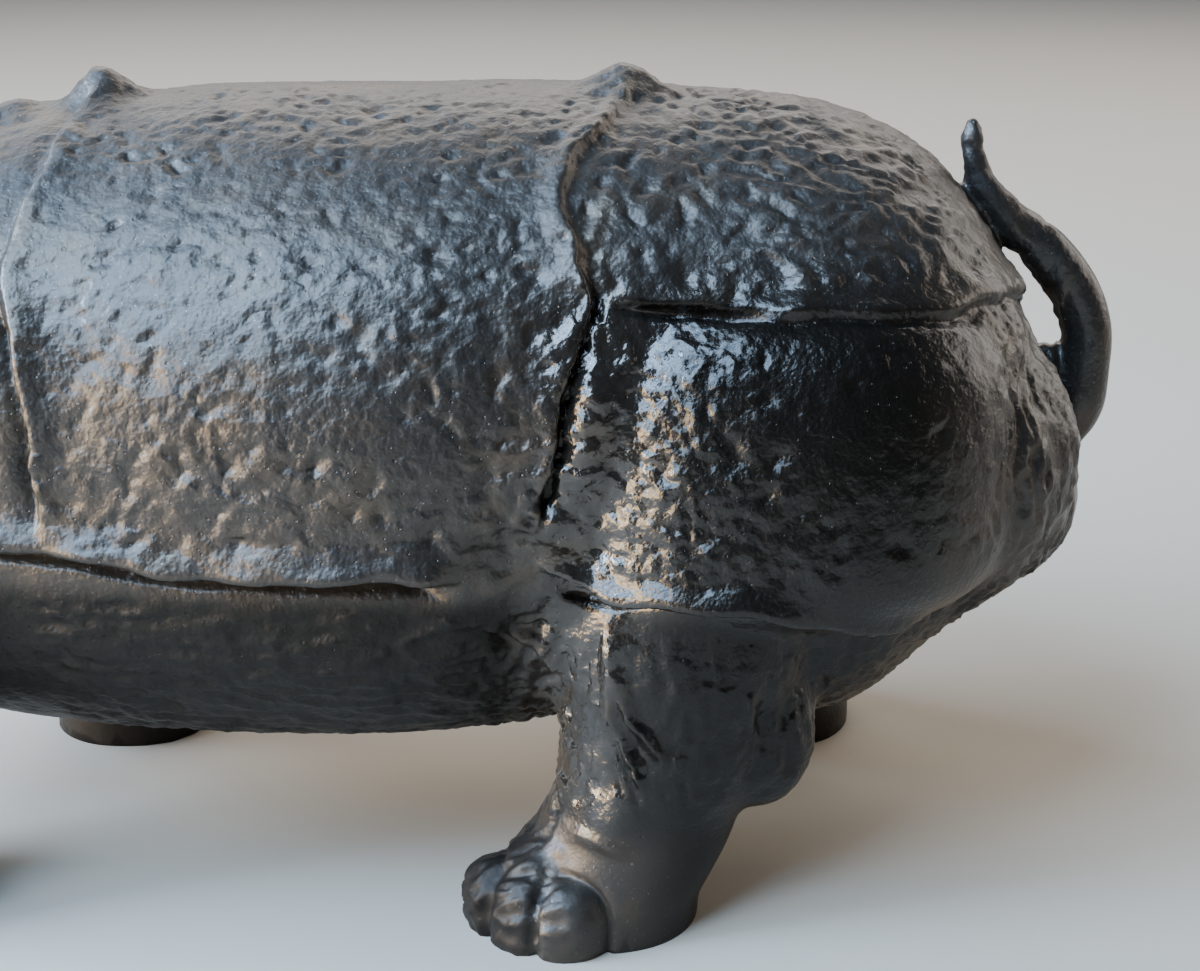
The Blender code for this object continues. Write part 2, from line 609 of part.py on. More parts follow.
def thin_out(clay, triangles):
    """Keeps fewer, larger triangles where the form is calm."""
    thinned = clay.modifiers.new("thin", "DECIMATE")
    thinned.ratio = triangles / (2 * len(clay.data.polygons))
    thinned.use_collapse_triangulate = True
    apply_modifiers(clay)


def centre_over_origin(clay):
    low, high = (np.array([f(v.co[k] for v in clay.data.vertices) for k in range(3)]) for f in (min, max))
    middle = (low + high) / 2
    print("moved by", -middle[0], -middle[1])
    clay.data.transform(Matrix.Translation((-middle[0], -middle[1], 0)))


def glaze(clay):
    """Gives the figure its dark satin glaze."""
    material = bpy.data.materials.new("dark_glaze")
    material.use_nodes = True
    shader = material.node_tree.nodes["Principled BSDF"]
    shader.inputs["Base Color"].default_value = GLAZE
    shader.inputs["Roughness"].default_value = GLAZE_ROUGHNESS
    shader.inputs["Metallic"].default_value = GLAZE_METALLIC
    clay.data.materials.clear()
    clay.data.materials.append(material)


def clear_scene():
    for thing in list(bpy.data.objects):
        bpy.data.objects.remove(thing)


def main():
    clear_scene()
    body = fuse("rhinoceros", large_masses(), SKIN_CELL)
    smooth(body, JOIN_RADIUS, SKIN_CELL)
    body = fuse("rhinoceros", [body] + small_masses(), SKIN_CELL)
    smooth(body, DETAIL_RADIUS, SKIN_CELL)
    carve(body)
    smooth(body, DETAIL_RADIUS, SKIN_CELL)
    thin_out(body, TRIANGLES_KEPT)
    flatten_soles(body)
    centre_over_origin(body)
    body.data.shade_smooth()
    glaze(body)
    print(len(body.data.polygons), "faces")


main()
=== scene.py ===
# %% [markdown]
# # A glazed ceramic rhinoceros
#
# The real figure is a hollow casting, about three quarters of a metre long, under one dark glaze that
# shines like worn gunmetal. Everything that the eye enjoys on it is surface: armour folds with rolled
# lips, hammered dents, and the broad soft reflections that run over them. So the lesson spends its time
# on the skin. We start from the solid model, which stays fixed as a frame that says where everything is
# and how big it may be.

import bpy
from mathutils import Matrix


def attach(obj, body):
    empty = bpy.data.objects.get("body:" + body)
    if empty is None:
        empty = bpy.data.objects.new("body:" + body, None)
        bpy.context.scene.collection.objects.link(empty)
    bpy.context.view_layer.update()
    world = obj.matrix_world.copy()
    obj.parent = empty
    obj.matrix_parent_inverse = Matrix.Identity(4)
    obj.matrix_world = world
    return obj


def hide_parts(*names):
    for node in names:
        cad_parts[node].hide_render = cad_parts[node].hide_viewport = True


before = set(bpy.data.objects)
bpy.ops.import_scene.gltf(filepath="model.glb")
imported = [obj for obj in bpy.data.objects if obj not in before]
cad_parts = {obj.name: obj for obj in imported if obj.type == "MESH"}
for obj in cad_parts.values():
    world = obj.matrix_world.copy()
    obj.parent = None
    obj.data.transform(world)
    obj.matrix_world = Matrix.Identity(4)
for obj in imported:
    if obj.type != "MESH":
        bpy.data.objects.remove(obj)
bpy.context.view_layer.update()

# %% The tools this lesson uses
import math
from contextlib import contextmanager

import bmesh
import bpy
import numpy as np
from mathutils import Matrix, Vector
from mathutils.bvhtree import BVHTree

print("Blender", bpy.app.version_string)

# %% [markdown]
# One unit of the figure is a millimetre at its real size. All stations below are in these units, so the
# whole animal can be read like a sculptor's measured drawing: x runs from the nose at about -370 to the
# tail at 360, the back stands 328 high, and y is the distance out from the middle. The clay is modelled
# in cells of a millimetre and a third, which is fine enough for a dent of four millimetres to come out
# crisp.

# %% Units and fineness
BACK_HEIGHT = 0.328
UNIT = BACK_HEIGHT / 328.0
MASS_CELL = 2.6 * UNIT
SKIN_CELL = 1.3 * UNIT
TRIANGLES_KEPT = 190000
JOIN_RADIUS = 8.0 * UNIT
DETAIL_RADIUS = 1.6 * UNIT
FOLD_SOFTNESS = 1.5 * UNIT
RING = 96
LEFT, RIGHT = -1, 1
print("one unit is", UNIT, "m")

# %% [markdown]
# A sculptor lays rolls and pillows of clay over each other before working the joins smooth. Here the
# rolls are lofts: oval sections placed along a line and bridged into a closed skin. A station gives a
# section's place and size, and a smooth curve through the stations gives the sections between them. A
# superellipse is a good section for an animal, because its power sets how boxy it is: 2 is an ellipse,
# and the barrel of a rhinoceros is a little squarer than that. Box modelling with subdivision would work
# too, but it is slow to steer towards a photograph.

# %% Smooth rows between stations
def flow(keys, count):
    """Rows between the given rows, on a smooth curve through them (Catmull-Rom)."""
    keys = np.asarray(keys, float)
    padded = np.vstack([2 * keys[0] - keys[1], keys, 2 * keys[-1] - keys[-2]])
    steps = np.linspace(0, len(keys) - 1, count)
    span = np.minimum(steps.astype(int), len(keys) - 2)
    t = (steps - span)[:, None]
    a, b, c, d = (padded[span + k] for k in range(4))
    return 0.5 * (2 * b + (c - a) * t + (2 * a - 5 * b + 4 * c - d) * t**2 + (3 * b - a - 3 * c + d) * t**3)


print("halfway from 0 to 10 is", flow([[0], [10]], 3)[1, 0])

# %% Ways to make an object and to work on its mesh
def new_object(name, data):
    """A new object of the scene, which holds this mesh, light or camera."""
    made = bpy.data.objects.new(name, data)
    bpy.context.scene.collection.objects.link(made)
    return made


def mesh_object(name, points, faces):
    """A new object of the scene, with a mesh of these points and faces."""
    mesh = bpy.data.meshes.new(name)
    mesh.from_pydata([tuple(p) for p in points], [], faces)
    mesh.update()
    return new_object(name, mesh)


@contextmanager
def opened(clay):
    """The object's mesh, opened for editing and written back afterwards."""
    shell = bmesh.new()
    shell.from_mesh(clay.data)
    yield shell
    shell.to_mesh(clay.data)
    shell.free()


# %% Skins through sections
def loft(name, rings):
    """A closed skin through rings of equal size, with a fan over each end."""
    count = len(rings[0])
    points = [p for ring in rings for p in ring]
    faces = []
    for r in range(len(rings) - 1):
        for k in range(count):
            here, along = r * count + k, r * count + (k + 1) % count
            faces.append((here, along, along + count, here + count))
    first, last = len(points), len(points) + 1
    points += [np.mean(rings[0], axis=0), np.mean(rings[-1], axis=0)]
    end = (len(rings) - 1) * count
    for k in range(count):
        faces.append((first, (k + 1) % count, k))
        faces.append((last, end + k, end + (k + 1) % count))
    clay = mesh_object(name, points, faces)
    with opened(clay) as shell:
        bmesh.ops.recalc_face_normals(shell, faces=shell.faces)
    return clay

# %% Sections
def oval(centre, side, up, wide, high, low, power):
    """One section: a superellipse, wide each way along side, high above its centre and low under it."""
    turn = np.linspace(0, 2 * math.pi, RING, endpoint=False)
    c, s = np.cos(turn), np.sin(turn)
    across = wide * np.sign(c) * np.abs(c) ** (2 / power)
    rise = np.where(s > 0, high, low) * np.sign(s) * np.abs(s) ** (2 / power)
    return np.asarray(centre) + np.outer(across, side) + np.outer(rise, up)


print("a section has", len(oval((0, 0, 0), (1, 0, 0), (0, 1, 0), 1, 1, 1, 2)), "points")

# %% Masses, legs and branches
def profile_loft(name, stations, power):
    """A mass along X. Each station is its top point x, z, its bottom point x, z, and its half width."""
    rings = []
    for x_top, z_top, x_low, z_low, wide in flow(stations, 6 * len(stations)) * UNIT:
        top, low = np.array((x_top, 0, z_top)), np.array((x_low, 0, z_low))
        half = np.linalg.norm(top - low) / 2
        rings.append(oval((top + low) / 2, (0, 1, 0), (top - low) / (2 * half), wide, half, half, power))
    return loft(name, rings)


def column(name, side, stations, power):
    """A leg, as level sections. Each station is z, x, y, half length, half width."""
    rings = []
    for z, x, y, long, wide in flow(stations, 5 * len(stations)) * UNIT:
        rings.append(oval((x, side * y, z), (1, 0, 0), (0, 1, 0), long, wide, wide, power))
    return loft(name, rings)


def branch(name, side, stations):
    """A bent tapering mass, such as a tail or horn. Each station is x, y, z, half depth, half width."""
    rows = flow(stations, 6 * len(stations)) * UNIT
    rings = []
    for k, (x, y, z, deep, wide) in enumerate(rows):
        ahead = rows[min(k + 1, len(rows) - 1), :3] - rows[max(k - 1, 0), :3]
        up = np.cross(ahead, (0, 1, 0))
        up = up / np.linalg.norm(up)
        out = np.cross(up, ahead)
        out = out / np.linalg.norm(out)
        rings.append(oval((x, y, z), out, up, wide, deep, deep, 2.0) * (1, side, 1))
    return loft(name, rings)

# %% [markdown]
# A pillow is a rounded mass on its own, for a thigh, a cheek or a toe. It is the same superellipse,
# turned into a solid by shrinking the section towards both ends, and it can lean or swing.

# %% Pillows
PILLOW_LEVELS = 25


def pillow(name, side, centre, radii, power=2.0, lean=0.0, swing=0.0):
    """A rounded mass. lean turns it about Y, swing about Z, in degrees."""
    rings = []
    for t in np.linspace(-math.pi / 2, math.pi / 2, PILLOW_LEVELS)[1:-1]:
        level = np.sign(math.sin(t)) * abs(math.sin(t)) ** (2 / power)
        broad = abs(math.cos(t)) ** (2 / power)
        rings.append(oval((0, 0, level), (1, 0, 0), (0, 1, 0), broad, broad, broad, power))
    a, b = math.radians(swing), math.radians(lean)
    tip = np.array([[math.cos(b), 0, math.sin(b)], [0, 1, 0], [-math.sin(b), 0, math.cos(b)]])
    turn = np.array([[math.cos(a), -math.sin(a), 0], [math.sin(a), math.cos(a), 0], [0, 0, 1]])
    placed = []
    for ring in rings:
        p = (ring * radii) @ tip.T @ turn.T + centre
        placed.append(p * (1, side, 1) * UNIT)
    return loft(name, placed)


print("a pillow has", PILLOW_LEVELS - 2, "sections")

# %% [markdown]
# The body comes first: a long barrel whose top and belly lines follow the photograph, closed by the round
# rump. The neck and skull lie outside the picture, so they follow the proportions of the living animal:
# the head is a little over a quarter of the length, and it hangs below the line of the back.

# %% Body, neck and skull
# How square each mass is, and its stations: top point x and z, bottom point x and z, and half width.
BODY = {
    "torso": (2.25, (
        (-208, 272, -208, 130, 62), (-196, 295, -200, 100, 88), (-165, 308, -170, 76, 108),
        (-120, 315, -120, 62, 116), (-60, 324, -60, 56, 126), (0, 328, 0, 54, 135), (60, 328, 60, 55, 139),
        (120, 329, 120, 61, 131), (180, 327, 180, 63, 122), (225, 323, 225, 61, 122),
        (255, 315, 253, 69, 119), (280, 301, 282, 94, 108), (299, 281, 310, 114, 96),
        (314, 256, 329, 124, 78), (324, 226, 343, 138, 60), (336, 197, 349, 154, 36),
    )),
    "neck": (2.1, (
        (-100, 315, -120, 78, 108), (-140, 311, -155, 84, 102), (-172, 307, -186, 94, 95),
        (-200, 302, -210, 108, 88), (-226, 294, -226, 124, 76), (-240, 284, -236, 146, 58),
    )),
    "skull": (2.3, (
        (-196, 290, -180, 156, 62), (-226, 290, -206, 146, 64), (-252, 274, -232, 137, 61),
        (-280, 246, -262, 128, 53), (-305, 219, -290, 120, 45), (-328, 207, -314, 112, 43),
        (-350, 195, -335, 107, 43), (-367, 174, -352, 107, 37), (-374, 152, -366, 118, 22),
    )),
}
print("the masses of the body have", [len(stations) for _, stations in BODY.values()], "stations")

# %% [markdown]
# Each leg is a column of level ovals. The left legs are caught stepping forward, which is why the four
# tables differ: the hock bulges back, the shank leans in, and the foot spreads on the ground.

# %% Legs
# Each leg's side and its stations, from the body down: height, place x and y, half length and half width.
LEG_POWER = 2.2
LEGS = {
    "left_hind_leg": (LEFT, (
        (175, 176, 84, 56, 46), (140, 174, 88, 57, 46), (115, 175, 90, 52, 44), (98, 173, 91, 46, 41),
        (82, 171, 92, 44, 39), (66, 168, 92, 42, 38), (52, 163, 92, 40, 37), (35, 156, 92, 41, 38),
        (20, 147, 92, 43, 41), (8, 142, 92, 43, 42), (-24, 142, 92, 42, 41),
    )),
    "right_hind_leg": (RIGHT, (
        (175, 185, 84, 56, 46), (140, 190, 88, 56, 46), (115, 200, 90, 52, 44), (98, 208, 91, 48, 42),
        (82, 214, 92, 48, 40), (66, 217, 92, 44, 39), (52, 219, 92, 40, 38), (35, 220, 92, 40, 39),
        (20, 223, 92, 41, 41), (8, 225, 92, 42, 43), (-24, 225, 92, 41, 42),
    )),
    "left_fore_leg": (LEFT, (
        (200, -136, 74, 56, 46), (160, -138, 80, 52, 45), (125, -142, 85, 45, 42), (92, -148, 88, 40, 38),
        (62, -156, 90, 36, 36), (38, -163, 91, 37, 37), (18, -168, 92, 40, 40), (6, -169, 92, 41, 42),
        (-24, -169, 92, 40, 41),
    )),
    "right_fore_leg": (RIGHT, (
        (200, -132, 74, 56, 46), (160, -128, 80, 52, 45), (125, -120, 85, 45, 42), (92, -109, 88, 40, 38),
        (62, -101, 90, 36, 36), (38, -95, 91, 37, 37), (18, -89, 92, 39, 40), (6, -88, 92, 40, 41),
        (-24, -88, 92, 40, 41),
    )),
}
print("the legs have", [len(stations) for _, stations in LEGS.values()], "stations")


def thigh(side):
    """The plate over the thigh, which flares out towards its lower lip."""
    stations = (
        (270, 212, 46, 50, 52), (258, 213, 48, 80, 71), (240, 213, 50, 94, 81), (215, 212, 50, 101, 88),
        (190, 211, 50, 104, 92), (168, 210, 50, 104, 95), (154, 208, 50, 101, 93), (143, 206, 50, 92, 84),
        (132, 206, 50, 70, 66), (122, 206, 50, 36, 36),
    )
    return column("thigh", side, stations, 2.35)

# %% [markdown]
# Small forms keep their crispness because they are fused on after the large ones are smoothed. The tail
# is the liveliest line of the figure: it leaves the rump low, swings clear of it, lies along the croup
# and ends in a free upturned tip.

# %% Tail, horn, ears and toes
def tail():
    stations = (
        (349, 0, 173, 3, 4), (348, 0, 181, 9, 9), (349, 0, 194, 12.5, 13), (351, 0, 209, 11.5, 12),
        (351, 0, 227, 10.5, 11), (343, 0, 245, 10.5, 10.5), (329, 0, 262, 10, 10), (314.5, 0, 273.5, 9, 9.5),
        (303, 0, 288, 7, 7.5), (298.5, 0, 301, 5, 5.5), (297.5, 0, 311, 4.4, 4.6), (297.5, 0, 315.5, 2, 2),
    )
    return branch("tail", RIGHT, stations)


def tail_root():
    """The web that fills the corner between the tail and the rump."""
    return pillow("tail_root", RIGHT, (336, 0, 194), (18, 10, 25), 2.2, lean=6)


def horn():
    stations = (
        (-318, 0, 184, 29, 25), (-328, 0, 202, 24, 20), (-338, 0, 218, 17, 15), (-343, 0, 236, 11, 10),
        (-342, 0, 254, 6.5, 6), (-338, 0, 267, 2.5, 2.5),
    )
    return branch("horn", RIGHT, stations)


def ear(side):
    stations = (
        (-222, 34, 272, 12, 12), (-225, 39, 288, 12, 13), (-228, 44, 303, 11, 15), (-230, 48, 317, 9, 13),
        (-230, 51, 329, 5, 8), (-229, 53, 335, 2, 3),
    )
    return branch("ear", side, stations)

# %% Feet and toes
# The feet: side, place x and y, and how far each is turned outwards, in degrees.
FEET = ((LEFT, 133, 92, 55), (RIGHT, 225, 92, 24), (LEFT, -169, 92, 26), (RIGHT, -80, 92, 30))
# A toe's radii out from the foot, across it and up, its distance from the foot's middle, its height, the
# angle between two, and how square its sections are.
TOE = (16, 17.5, 19.5)
TOE_REACH = 34
TOE_HEIGHT = 9.5
TOE_SPREAD = 29
TOE_POWER = 2.25


def toe_places(x, y, turned):
    """Where the three toes of a foot sit, and the angle that each is swung to."""
    places = []
    for spread in (-TOE_SPREAD, 0, TOE_SPREAD):
        a = math.radians(turned + spread)
        at = (x - TOE_REACH * math.cos(a), y + TOE_REACH * math.sin(a), TOE_HEIGHT)
        places.append((at, -turned - spread))
    return places


def toes(side, x, y, turned):
    places = toe_places(x, y, turned)
    return [pillow("toe", side, centre, TOE, TOE_POWER, swing=swing) for centre, swing in places]


print("a foot has", len(toe_places(*FEET[0][1:])), "toes")

# %% [markdown]
# Now the list of everything that is laid together. Fusing them with booleans would leave hard creases,
# and the joins of clay are never hard, so they are turned into one skin of even cells by a voxel remesh
# and worked smooth over several millimetres.

# %% What is laid together
def large_masses():
    made = [profile_loft(name, stations, power) for name, (power, stations) in BODY.items()]
    made += [column(name, side, stations, LEG_POWER) for name, (side, stations) in LEGS.items()]
    for side in (LEFT, RIGHT):
        made.append(thigh(side))
        made.append(pillow("buttock", side, (278, 46, 184), (62, 60, 63), 2.1))
        made.append(pillow("shoulder", side, (-140, 58, 214), (70, 70, 96), 2.1, lean=6))
        made.append(pillow("cheek", side, (-244, 38, 190), (40, 26, 40)))
        made.append(pillow("brow", side, (-265, 37, 220), (27, 19, 13), lean=34))
    made.append(pillow("bib", RIGHT, (-212, 0, 138), (34, 50, 34)))
    made.append(pillow("left_instep", LEFT, (122, 105, 11), (33, 27, 27), 2.0, swing=-52))
    made.append(pillow("left_hock", LEFT, (204, 92, 84), (27, 25, 36), 2.3))
    made.append(pillow("right_hock", RIGHT, (244, 92, 88), (22, 25, 34), 2.3))
    return made


def small_masses():
    made = [tail(), tail_root(), horn(), ear(LEFT), ear(RIGHT)]
    for foot in FEET:
        made += toes(*foot)
    for side in (LEFT, RIGHT):
        made.append(pillow("eye", side, (-272, 50, 203), (11, 8, 8)))
        made.append(pillow("nostril_wing", side, (-354, 33, 150), (13, 9, 12)))
    return made

# %% Fusing and smoothing
def fuse(name, masses, cell):
    """The masses as one skin of even cells."""
    skin = masses[0]
    skin.name = name
    with opened(skin) as shell:
        for mass in masses[1:]:
            shell.from_mesh(mass.data)
    for mass in masses[1:]:
        bpy.data.objects.remove(mass)
    remesh = skin.modifiers.new("fuse", "REMESH")
    remesh.mode = "VOXEL"
    remesh.voxel_size = cell
    apply_modifiers(skin)
    return skin


def apply_modifiers(clay):
    """Replaces the mesh by what its modifiers make of it."""
    graph = bpy.context.evaluated_depsgraph_get()
    made = bpy.data.meshes.new_from_object(clay.evaluated_get(graph))
    clay.modifiers.clear()
    clay.data = made


def smooth(clay, radius, cell):
    """Works the surface smooth over about a radius."""
    worked = clay.modifiers.new("smooth", "SMOOTH")
    worked.factor = 0.5
    worked.iterations = max(1, round((radius / cell) ** 2))
    apply_modifiers(clay)

# %% [markdown]
# # The armour
#
# An Indian rhinoceros wears plates, and each fold between them is one plate's rolled lip over a groove.
# So one tool cuts them all. A fold is a line on the left side, a lip on one side of it and a groove on
# the other; the right side gets its mirror image. Cords and hollows are gentler: tendons, lids, nostrils
# and the like.

# %% Where the folds run
# The armour folds of the left side, cut in mirror image on the right. Each is the side of its line that is
# raised (+1 is left of the way it runs, seen from outside), the lip's height and reach, the groove's depth
# and reach, how far the ground under it is set back, and the line itself.
FOLDS = {
    "hip_upper": (-1, 4.0, 8.5, 1.3, 8, 0.0, (
        (160, 0, 334), (155, -20, 328), (148, -43, 321), (141, -58, 316), (134, -70, 311), (130, -83, 304),
        (132, -92, 296), (135, -98, 289), (138, -105, 281), (142, -111, 271), (140, -120, 258))),
    "hip_lower": (-1, 3.0, 10, 7.0, 1.9, 0.5, (
        (134, -106, 283), (142, -115, 270), (139, -120, 260), (133, -127, 242), (129, -131, 224),
        (125, -133, 205), (119, -133, 178))),
    "rump_front": (1, 1.2, 9, 0.4, 3.0, 0.3, (
        (142, -113, 266), (158, -111, 265), (180, -109, 263), (203, -112, 263), (214, -113, 262))),
    "rump_back": (1, 3.0, 12, 2.6, 4.0, 0.8, (
        (195, -111, 263), (214, -113, 262), (240, -110, 262), (256, -106, 261), (272, -99, 259),
        (283, -91, 258), (292, -82, 259), (301, -70, 258), (309, -54, 256), (318, -34, 250), (326, -4, 240))),
    "thigh_lip": (1, 6.0, 7, 2.5, 4.5, 3.0, (
        (116, -130, 172), (124, -128, 164), (136, -125, 158), (150, -131, 154), (170, -139, 155),
        (190, -142, 154), (220, -141, 150), (240, -133, 145), (256, -120, 141), (271, -106, 137))),
    "rim": (1, 7.5, 11, 2.0, 4.5, 5.5, (
        (-118, -120, 173), (-88, -121, 172), (-56, -126, 170), (-25, -130, 165), (6, -134, 164),
        (30, -136, 163), (45, -137, 165), (67, -137, 165), (93, -133, 160))),
    "upper_shoulder": (1, 3.4, 14, 2.4, 8, 0.0, (
        (-59, 0, 335), (-69, -24, 323), (-75, -67, 308), (-82, -91, 290), (-85, -104, 274),
        (-81, -116, 256), (-77, -124, 233))),
    "lower_shoulder": (1, 3.6, 9, 5.0, 4, 0.5, (
        (-85, -104, 274), (-81, -116, 256), (-77, -124, 233), (-74, -128, 205), (-72, -130, 190),
        (-74, -129, 176))),
    "shoulder_knob": (-1, 2.4, 10, 1.6, 5, 0.0, (
        (-100, 0, 320), (-106, -30, 316), (-113, -60, 306), (-120, -84, 290))),
    "before_shoulder": (1, 5.0, 20, 5.5, 8, 1.5, (
        (-168, -6, 311), (-174, -52, 299), (-183, -84, 266), (-192, -98, 226), (-196, -96, 186),
        (-196, -78, 148), (-194, -46, 116), (-194, -2, 104))),
    "behind_head": (1, 4.5, 18, 5.5, 8, 1.0, (
        (-206, -2, 300), (-208, -40, 292), (-212, -70, 262), (-220, -80, 222), (-226, -76, 182),
        (-228, -58, 146), (-228, -26, 122), (-228, -2, 114))),
    "shoulder_lip": (1, 3.6, 13, 3.8, 7, 1.5, (
        (-104, -124, 166), (-118, -128, 154), (-136, -130, 141), (-162, -124, 144), (-182, -104, 152),
        (-190, -76, 158))),
    "web": (1, 2.6, 7, 2.6, 6, 0.0, (
        (88, -124, 144), (99, -123, 140), (110, -121, 132), (122, -115, 118), (128, -108, 104))),
    "jaw": (1, 2.0, 14, 2.4, 8, 0.0, (
        (-214, -62, 176), (-240, -62, 160), (-268, -52, 146), (-292, -42, 140))),
    "mouth": (1, 1.4, 8, 3.0, 2.8, 0.0, (
        (-306, -42, 143), (-324, -43, 136), (-344, -42, 130), (-362, -34, 127), (-372, -16, 127),
        (-374, -1, 126))),
    "upper_lid": (1, 2.0, 4.5, 1.6, 2.4, 0.0, (
        (-256, -58, 201), (-263, -58, 210), (-274, -57, 212), (-287, -51, 204))),
    "lower_lid": (-1, 1.6, 4.0, 1.4, 2.4, 0.0, (
        (-257, -58, 198), (-266, -58, 193), (-277, -55, 193), (-287, -51, 200))),
}
print(len(FOLDS), "folds on each side")

# %% Cords and furrows
# Cords under the skin of the left side, or soft furrows where the height is negative: width, height and line.
CORDS = {
    "shin": (4.0, 2.6, (
        (146, -122, 149), (147, -128, 134), (146, -130, 121), (145, -129, 107), (143, -125, 92))),
    "tendon_rear": (2.2, 3.0, (
        (148, -129, 132), (150, -130, 122), (152, -129, 113), (156, -128, 103), (162, -133, 95),
        (169, -133, 85), (171, -132, 76))),
    "tendon_middle": (1.8, 2.2, (
        (147, -129, 116), (148, -128, 105), (150, -128, 96), (154, -129, 85), (161, -130, 72),
        (164, -130, 66))),
    "tendon_front": (1.5, 1.6, (
        (145, -128, 104), (148, -128, 91), (151, -130, 80), (156, -129, 66), (158, -129, 60))),
    "rear_valley": (2.2, -1.7, (
        (150, -130, 119), (152, -127, 106), (155, -127, 97), (161, -128, 86), (168, -131, 76))),
    "front_valley": (1.6, -1.2, (
        (146, -129, 103), (148, -129, 94), (152, -130, 85), (155, -130, 76), (160, -130, 65))),
    "thigh_crease": (2.0, -1.4, ((175, -136, 201), (176, -136, 191), (178, -136, 180), (178, -136, 172))),
    "thigh_crease_behind": (1.8, -1.0, ((182, -136, 198), (184, -136, 187), (182, -136, 175))),
    "instep": (3.0, 1.8, (
        (128, -116, 50), (134, -119, 48), (142, -124, 47), (152, -128, 44), (158, -130, 42))),
    "hock_ridge": (2.4, 1.8, ((200, -126, 118), (201, -126, 110), (202, -124, 102), (204, -121, 92))),
    "hock_groove": (3.0, -1.8, ((219, -112, 104), (218, -113, 94), (218, -113, 84), (220, -112, 70))),
    "thigh_front": (9.0, 3.6, ((143, -126, 256), (142, -130, 236), (139, -132, 212), (134, -133, 188))),
    "under_tail": (6.0, -1.2, ((341, -2, 168), (331, -2, 142), (312, -2, 120))),
    "elbow": (9.0, 3.0, ((-102, -118, 150), (-104, -116, 134), (-112, -114, 118))),
    "rear_furrow": (8.0, -2.2, (
        (312, -92, 256), (320, -86, 226), (322, -80, 200), (320, -74, 172), (308, -68, 140))),
    "knee_upper": (5.0, 1.6, ((-120, -126, 98), (-140, -129, 94), (-164, -126, 94), (-182, -108, 98))),
    "knee_lower": (4.5, 1.4, ((-128, -126, 84), (-148, -128, 79), (-170, -124, 80), (-186, -106, 84))),
    "cheek_furrow": (6.0, -2.0, ((-236, -64, 214), (-246, -64, 190), (-262, -58, 168))),
    "nose_ring": (4.5, 1.8, ((-304, -36, 190), (-310, -26, 208), (-308, -2, 220))),
}
print(len(CORDS), "cords and furrows on each side")

# %% Trenches, hollows and knobs
# Trenches with steep sides, on both sides of the body: half width, depth and line.
TRENCHES = {
    "rump": (2.2, 4.0, FOLDS["rump_front"][-1]),
    "rim": (3.6, 4.5, (
        (-118, -120, 167), (-88, -120, 168), (-56, -125, 165), (-25, -130, 161), (6, -133, 160),
        (45, -137, 160), (67, -136, 160), (91, -132, 155))),
    "thigh_lip": (2.4, 3.0, (
        (122, -128, 162), (135, -124, 153), (154, -132, 152), (180, -140, 153), (204, -141, 151),
        (219, -138, 147), (235, -130, 142), (254, -108, 132))),
}
# Hollows pressed into both sides, or knobs where the depth is negative: centre, radii and depth.
HOLLOWS = {
    "ear": ((-240, -48, 310), (8, 7, 18), 6.0),
    "nostril": ((-364, -37, 151), (7, 7, 4.5), 6.0),
    "temple": ((-252, -60, 232), (14, 14, 12), 4.0),
    "flank": ((106, -132, 174), (12, 12, 12), 3.0),
    "behind_knee": ((208, -120, 99), (5, 6, 8), 3.0),
    "groin": ((113, -124, 138), (10, 10, 9), 4.5),
    "ankle_pad": ((146, -127, 57), (9, 9, 10), -3.0),
    "crease_knob": ((219, -109, 274), (6, 7, 9), -3.2),
    "hip_knob": ((153, 0, 329), (15, 14, 14), -5.4),
    "shoulder_knob": ((-62, 0, 327), (13, 13, 13), -7.5),
    "neck_knob": ((-98, 0, 317), (12, 12, 12), -2.5),
}
print(len(TRENCHES), "trenches and", len(HOLLOWS), "hollows and knobs on each side")

# %% [markdown]
# To cut along a line, the points of the skin need to know how far they are from it and on which side. The
# line is laid on the surface first, and carries the way the surface faces and the way it runs, so that
# left and right have a meaning anywhere on the body.

# %% The skin as arrays
class Skin:
    """The points and outward directions of a clay skin, as arrays, with a tree to find its surface."""

    def __init__(self, clay):
        self.mesh = clay.data
        self.points = np.empty(3 * len(self.mesh.vertices))
        self.mesh.vertices.foreach_get("co", self.points)
        self.points = self.points.reshape(-1, 3)
        self.out = np.empty(3 * len(self.mesh.vertices))
        self.mesh.vertices.foreach_get("normal", self.out)
        self.out = self.out.reshape(-1, 3)
        self.tree = BVHTree.FromPolygons(self.points.tolist(), [p.vertices[:] for p in self.mesh.polygons])
        self.push = np.zeros(len(self.points))

    def snap(self, point):
        """The nearest place of the surface and the way it faces."""
        place, facing, _, _ = self.tree.find_nearest(Vector(point))
        return np.array(place), np.array(facing)

    def apply(self):
        """Moves every point by its push, along the way it faces."""
        moved = self.points + self.out * self.push[:, None]
        self.mesh.vertices.foreach_set("co", moved.ravel())
        self.mesh.update()

# %% A line laid on the skin
# A line fades out over this length at each end, or over this share of itself if it is short. A point takes
# part within this height of the line, and more fully as it faces the way the line does: the cosine at which
# that starts, and how much more makes it whole. The batch is how many points are measured at a time, so that
# the memory holds them.
FADE = 22.0
FADE_SHARE = 0.3
HEIGHT_REACHED = 30
FACING_START, FACING_SOFT = 0.1, 0.4
BATCH = 20000


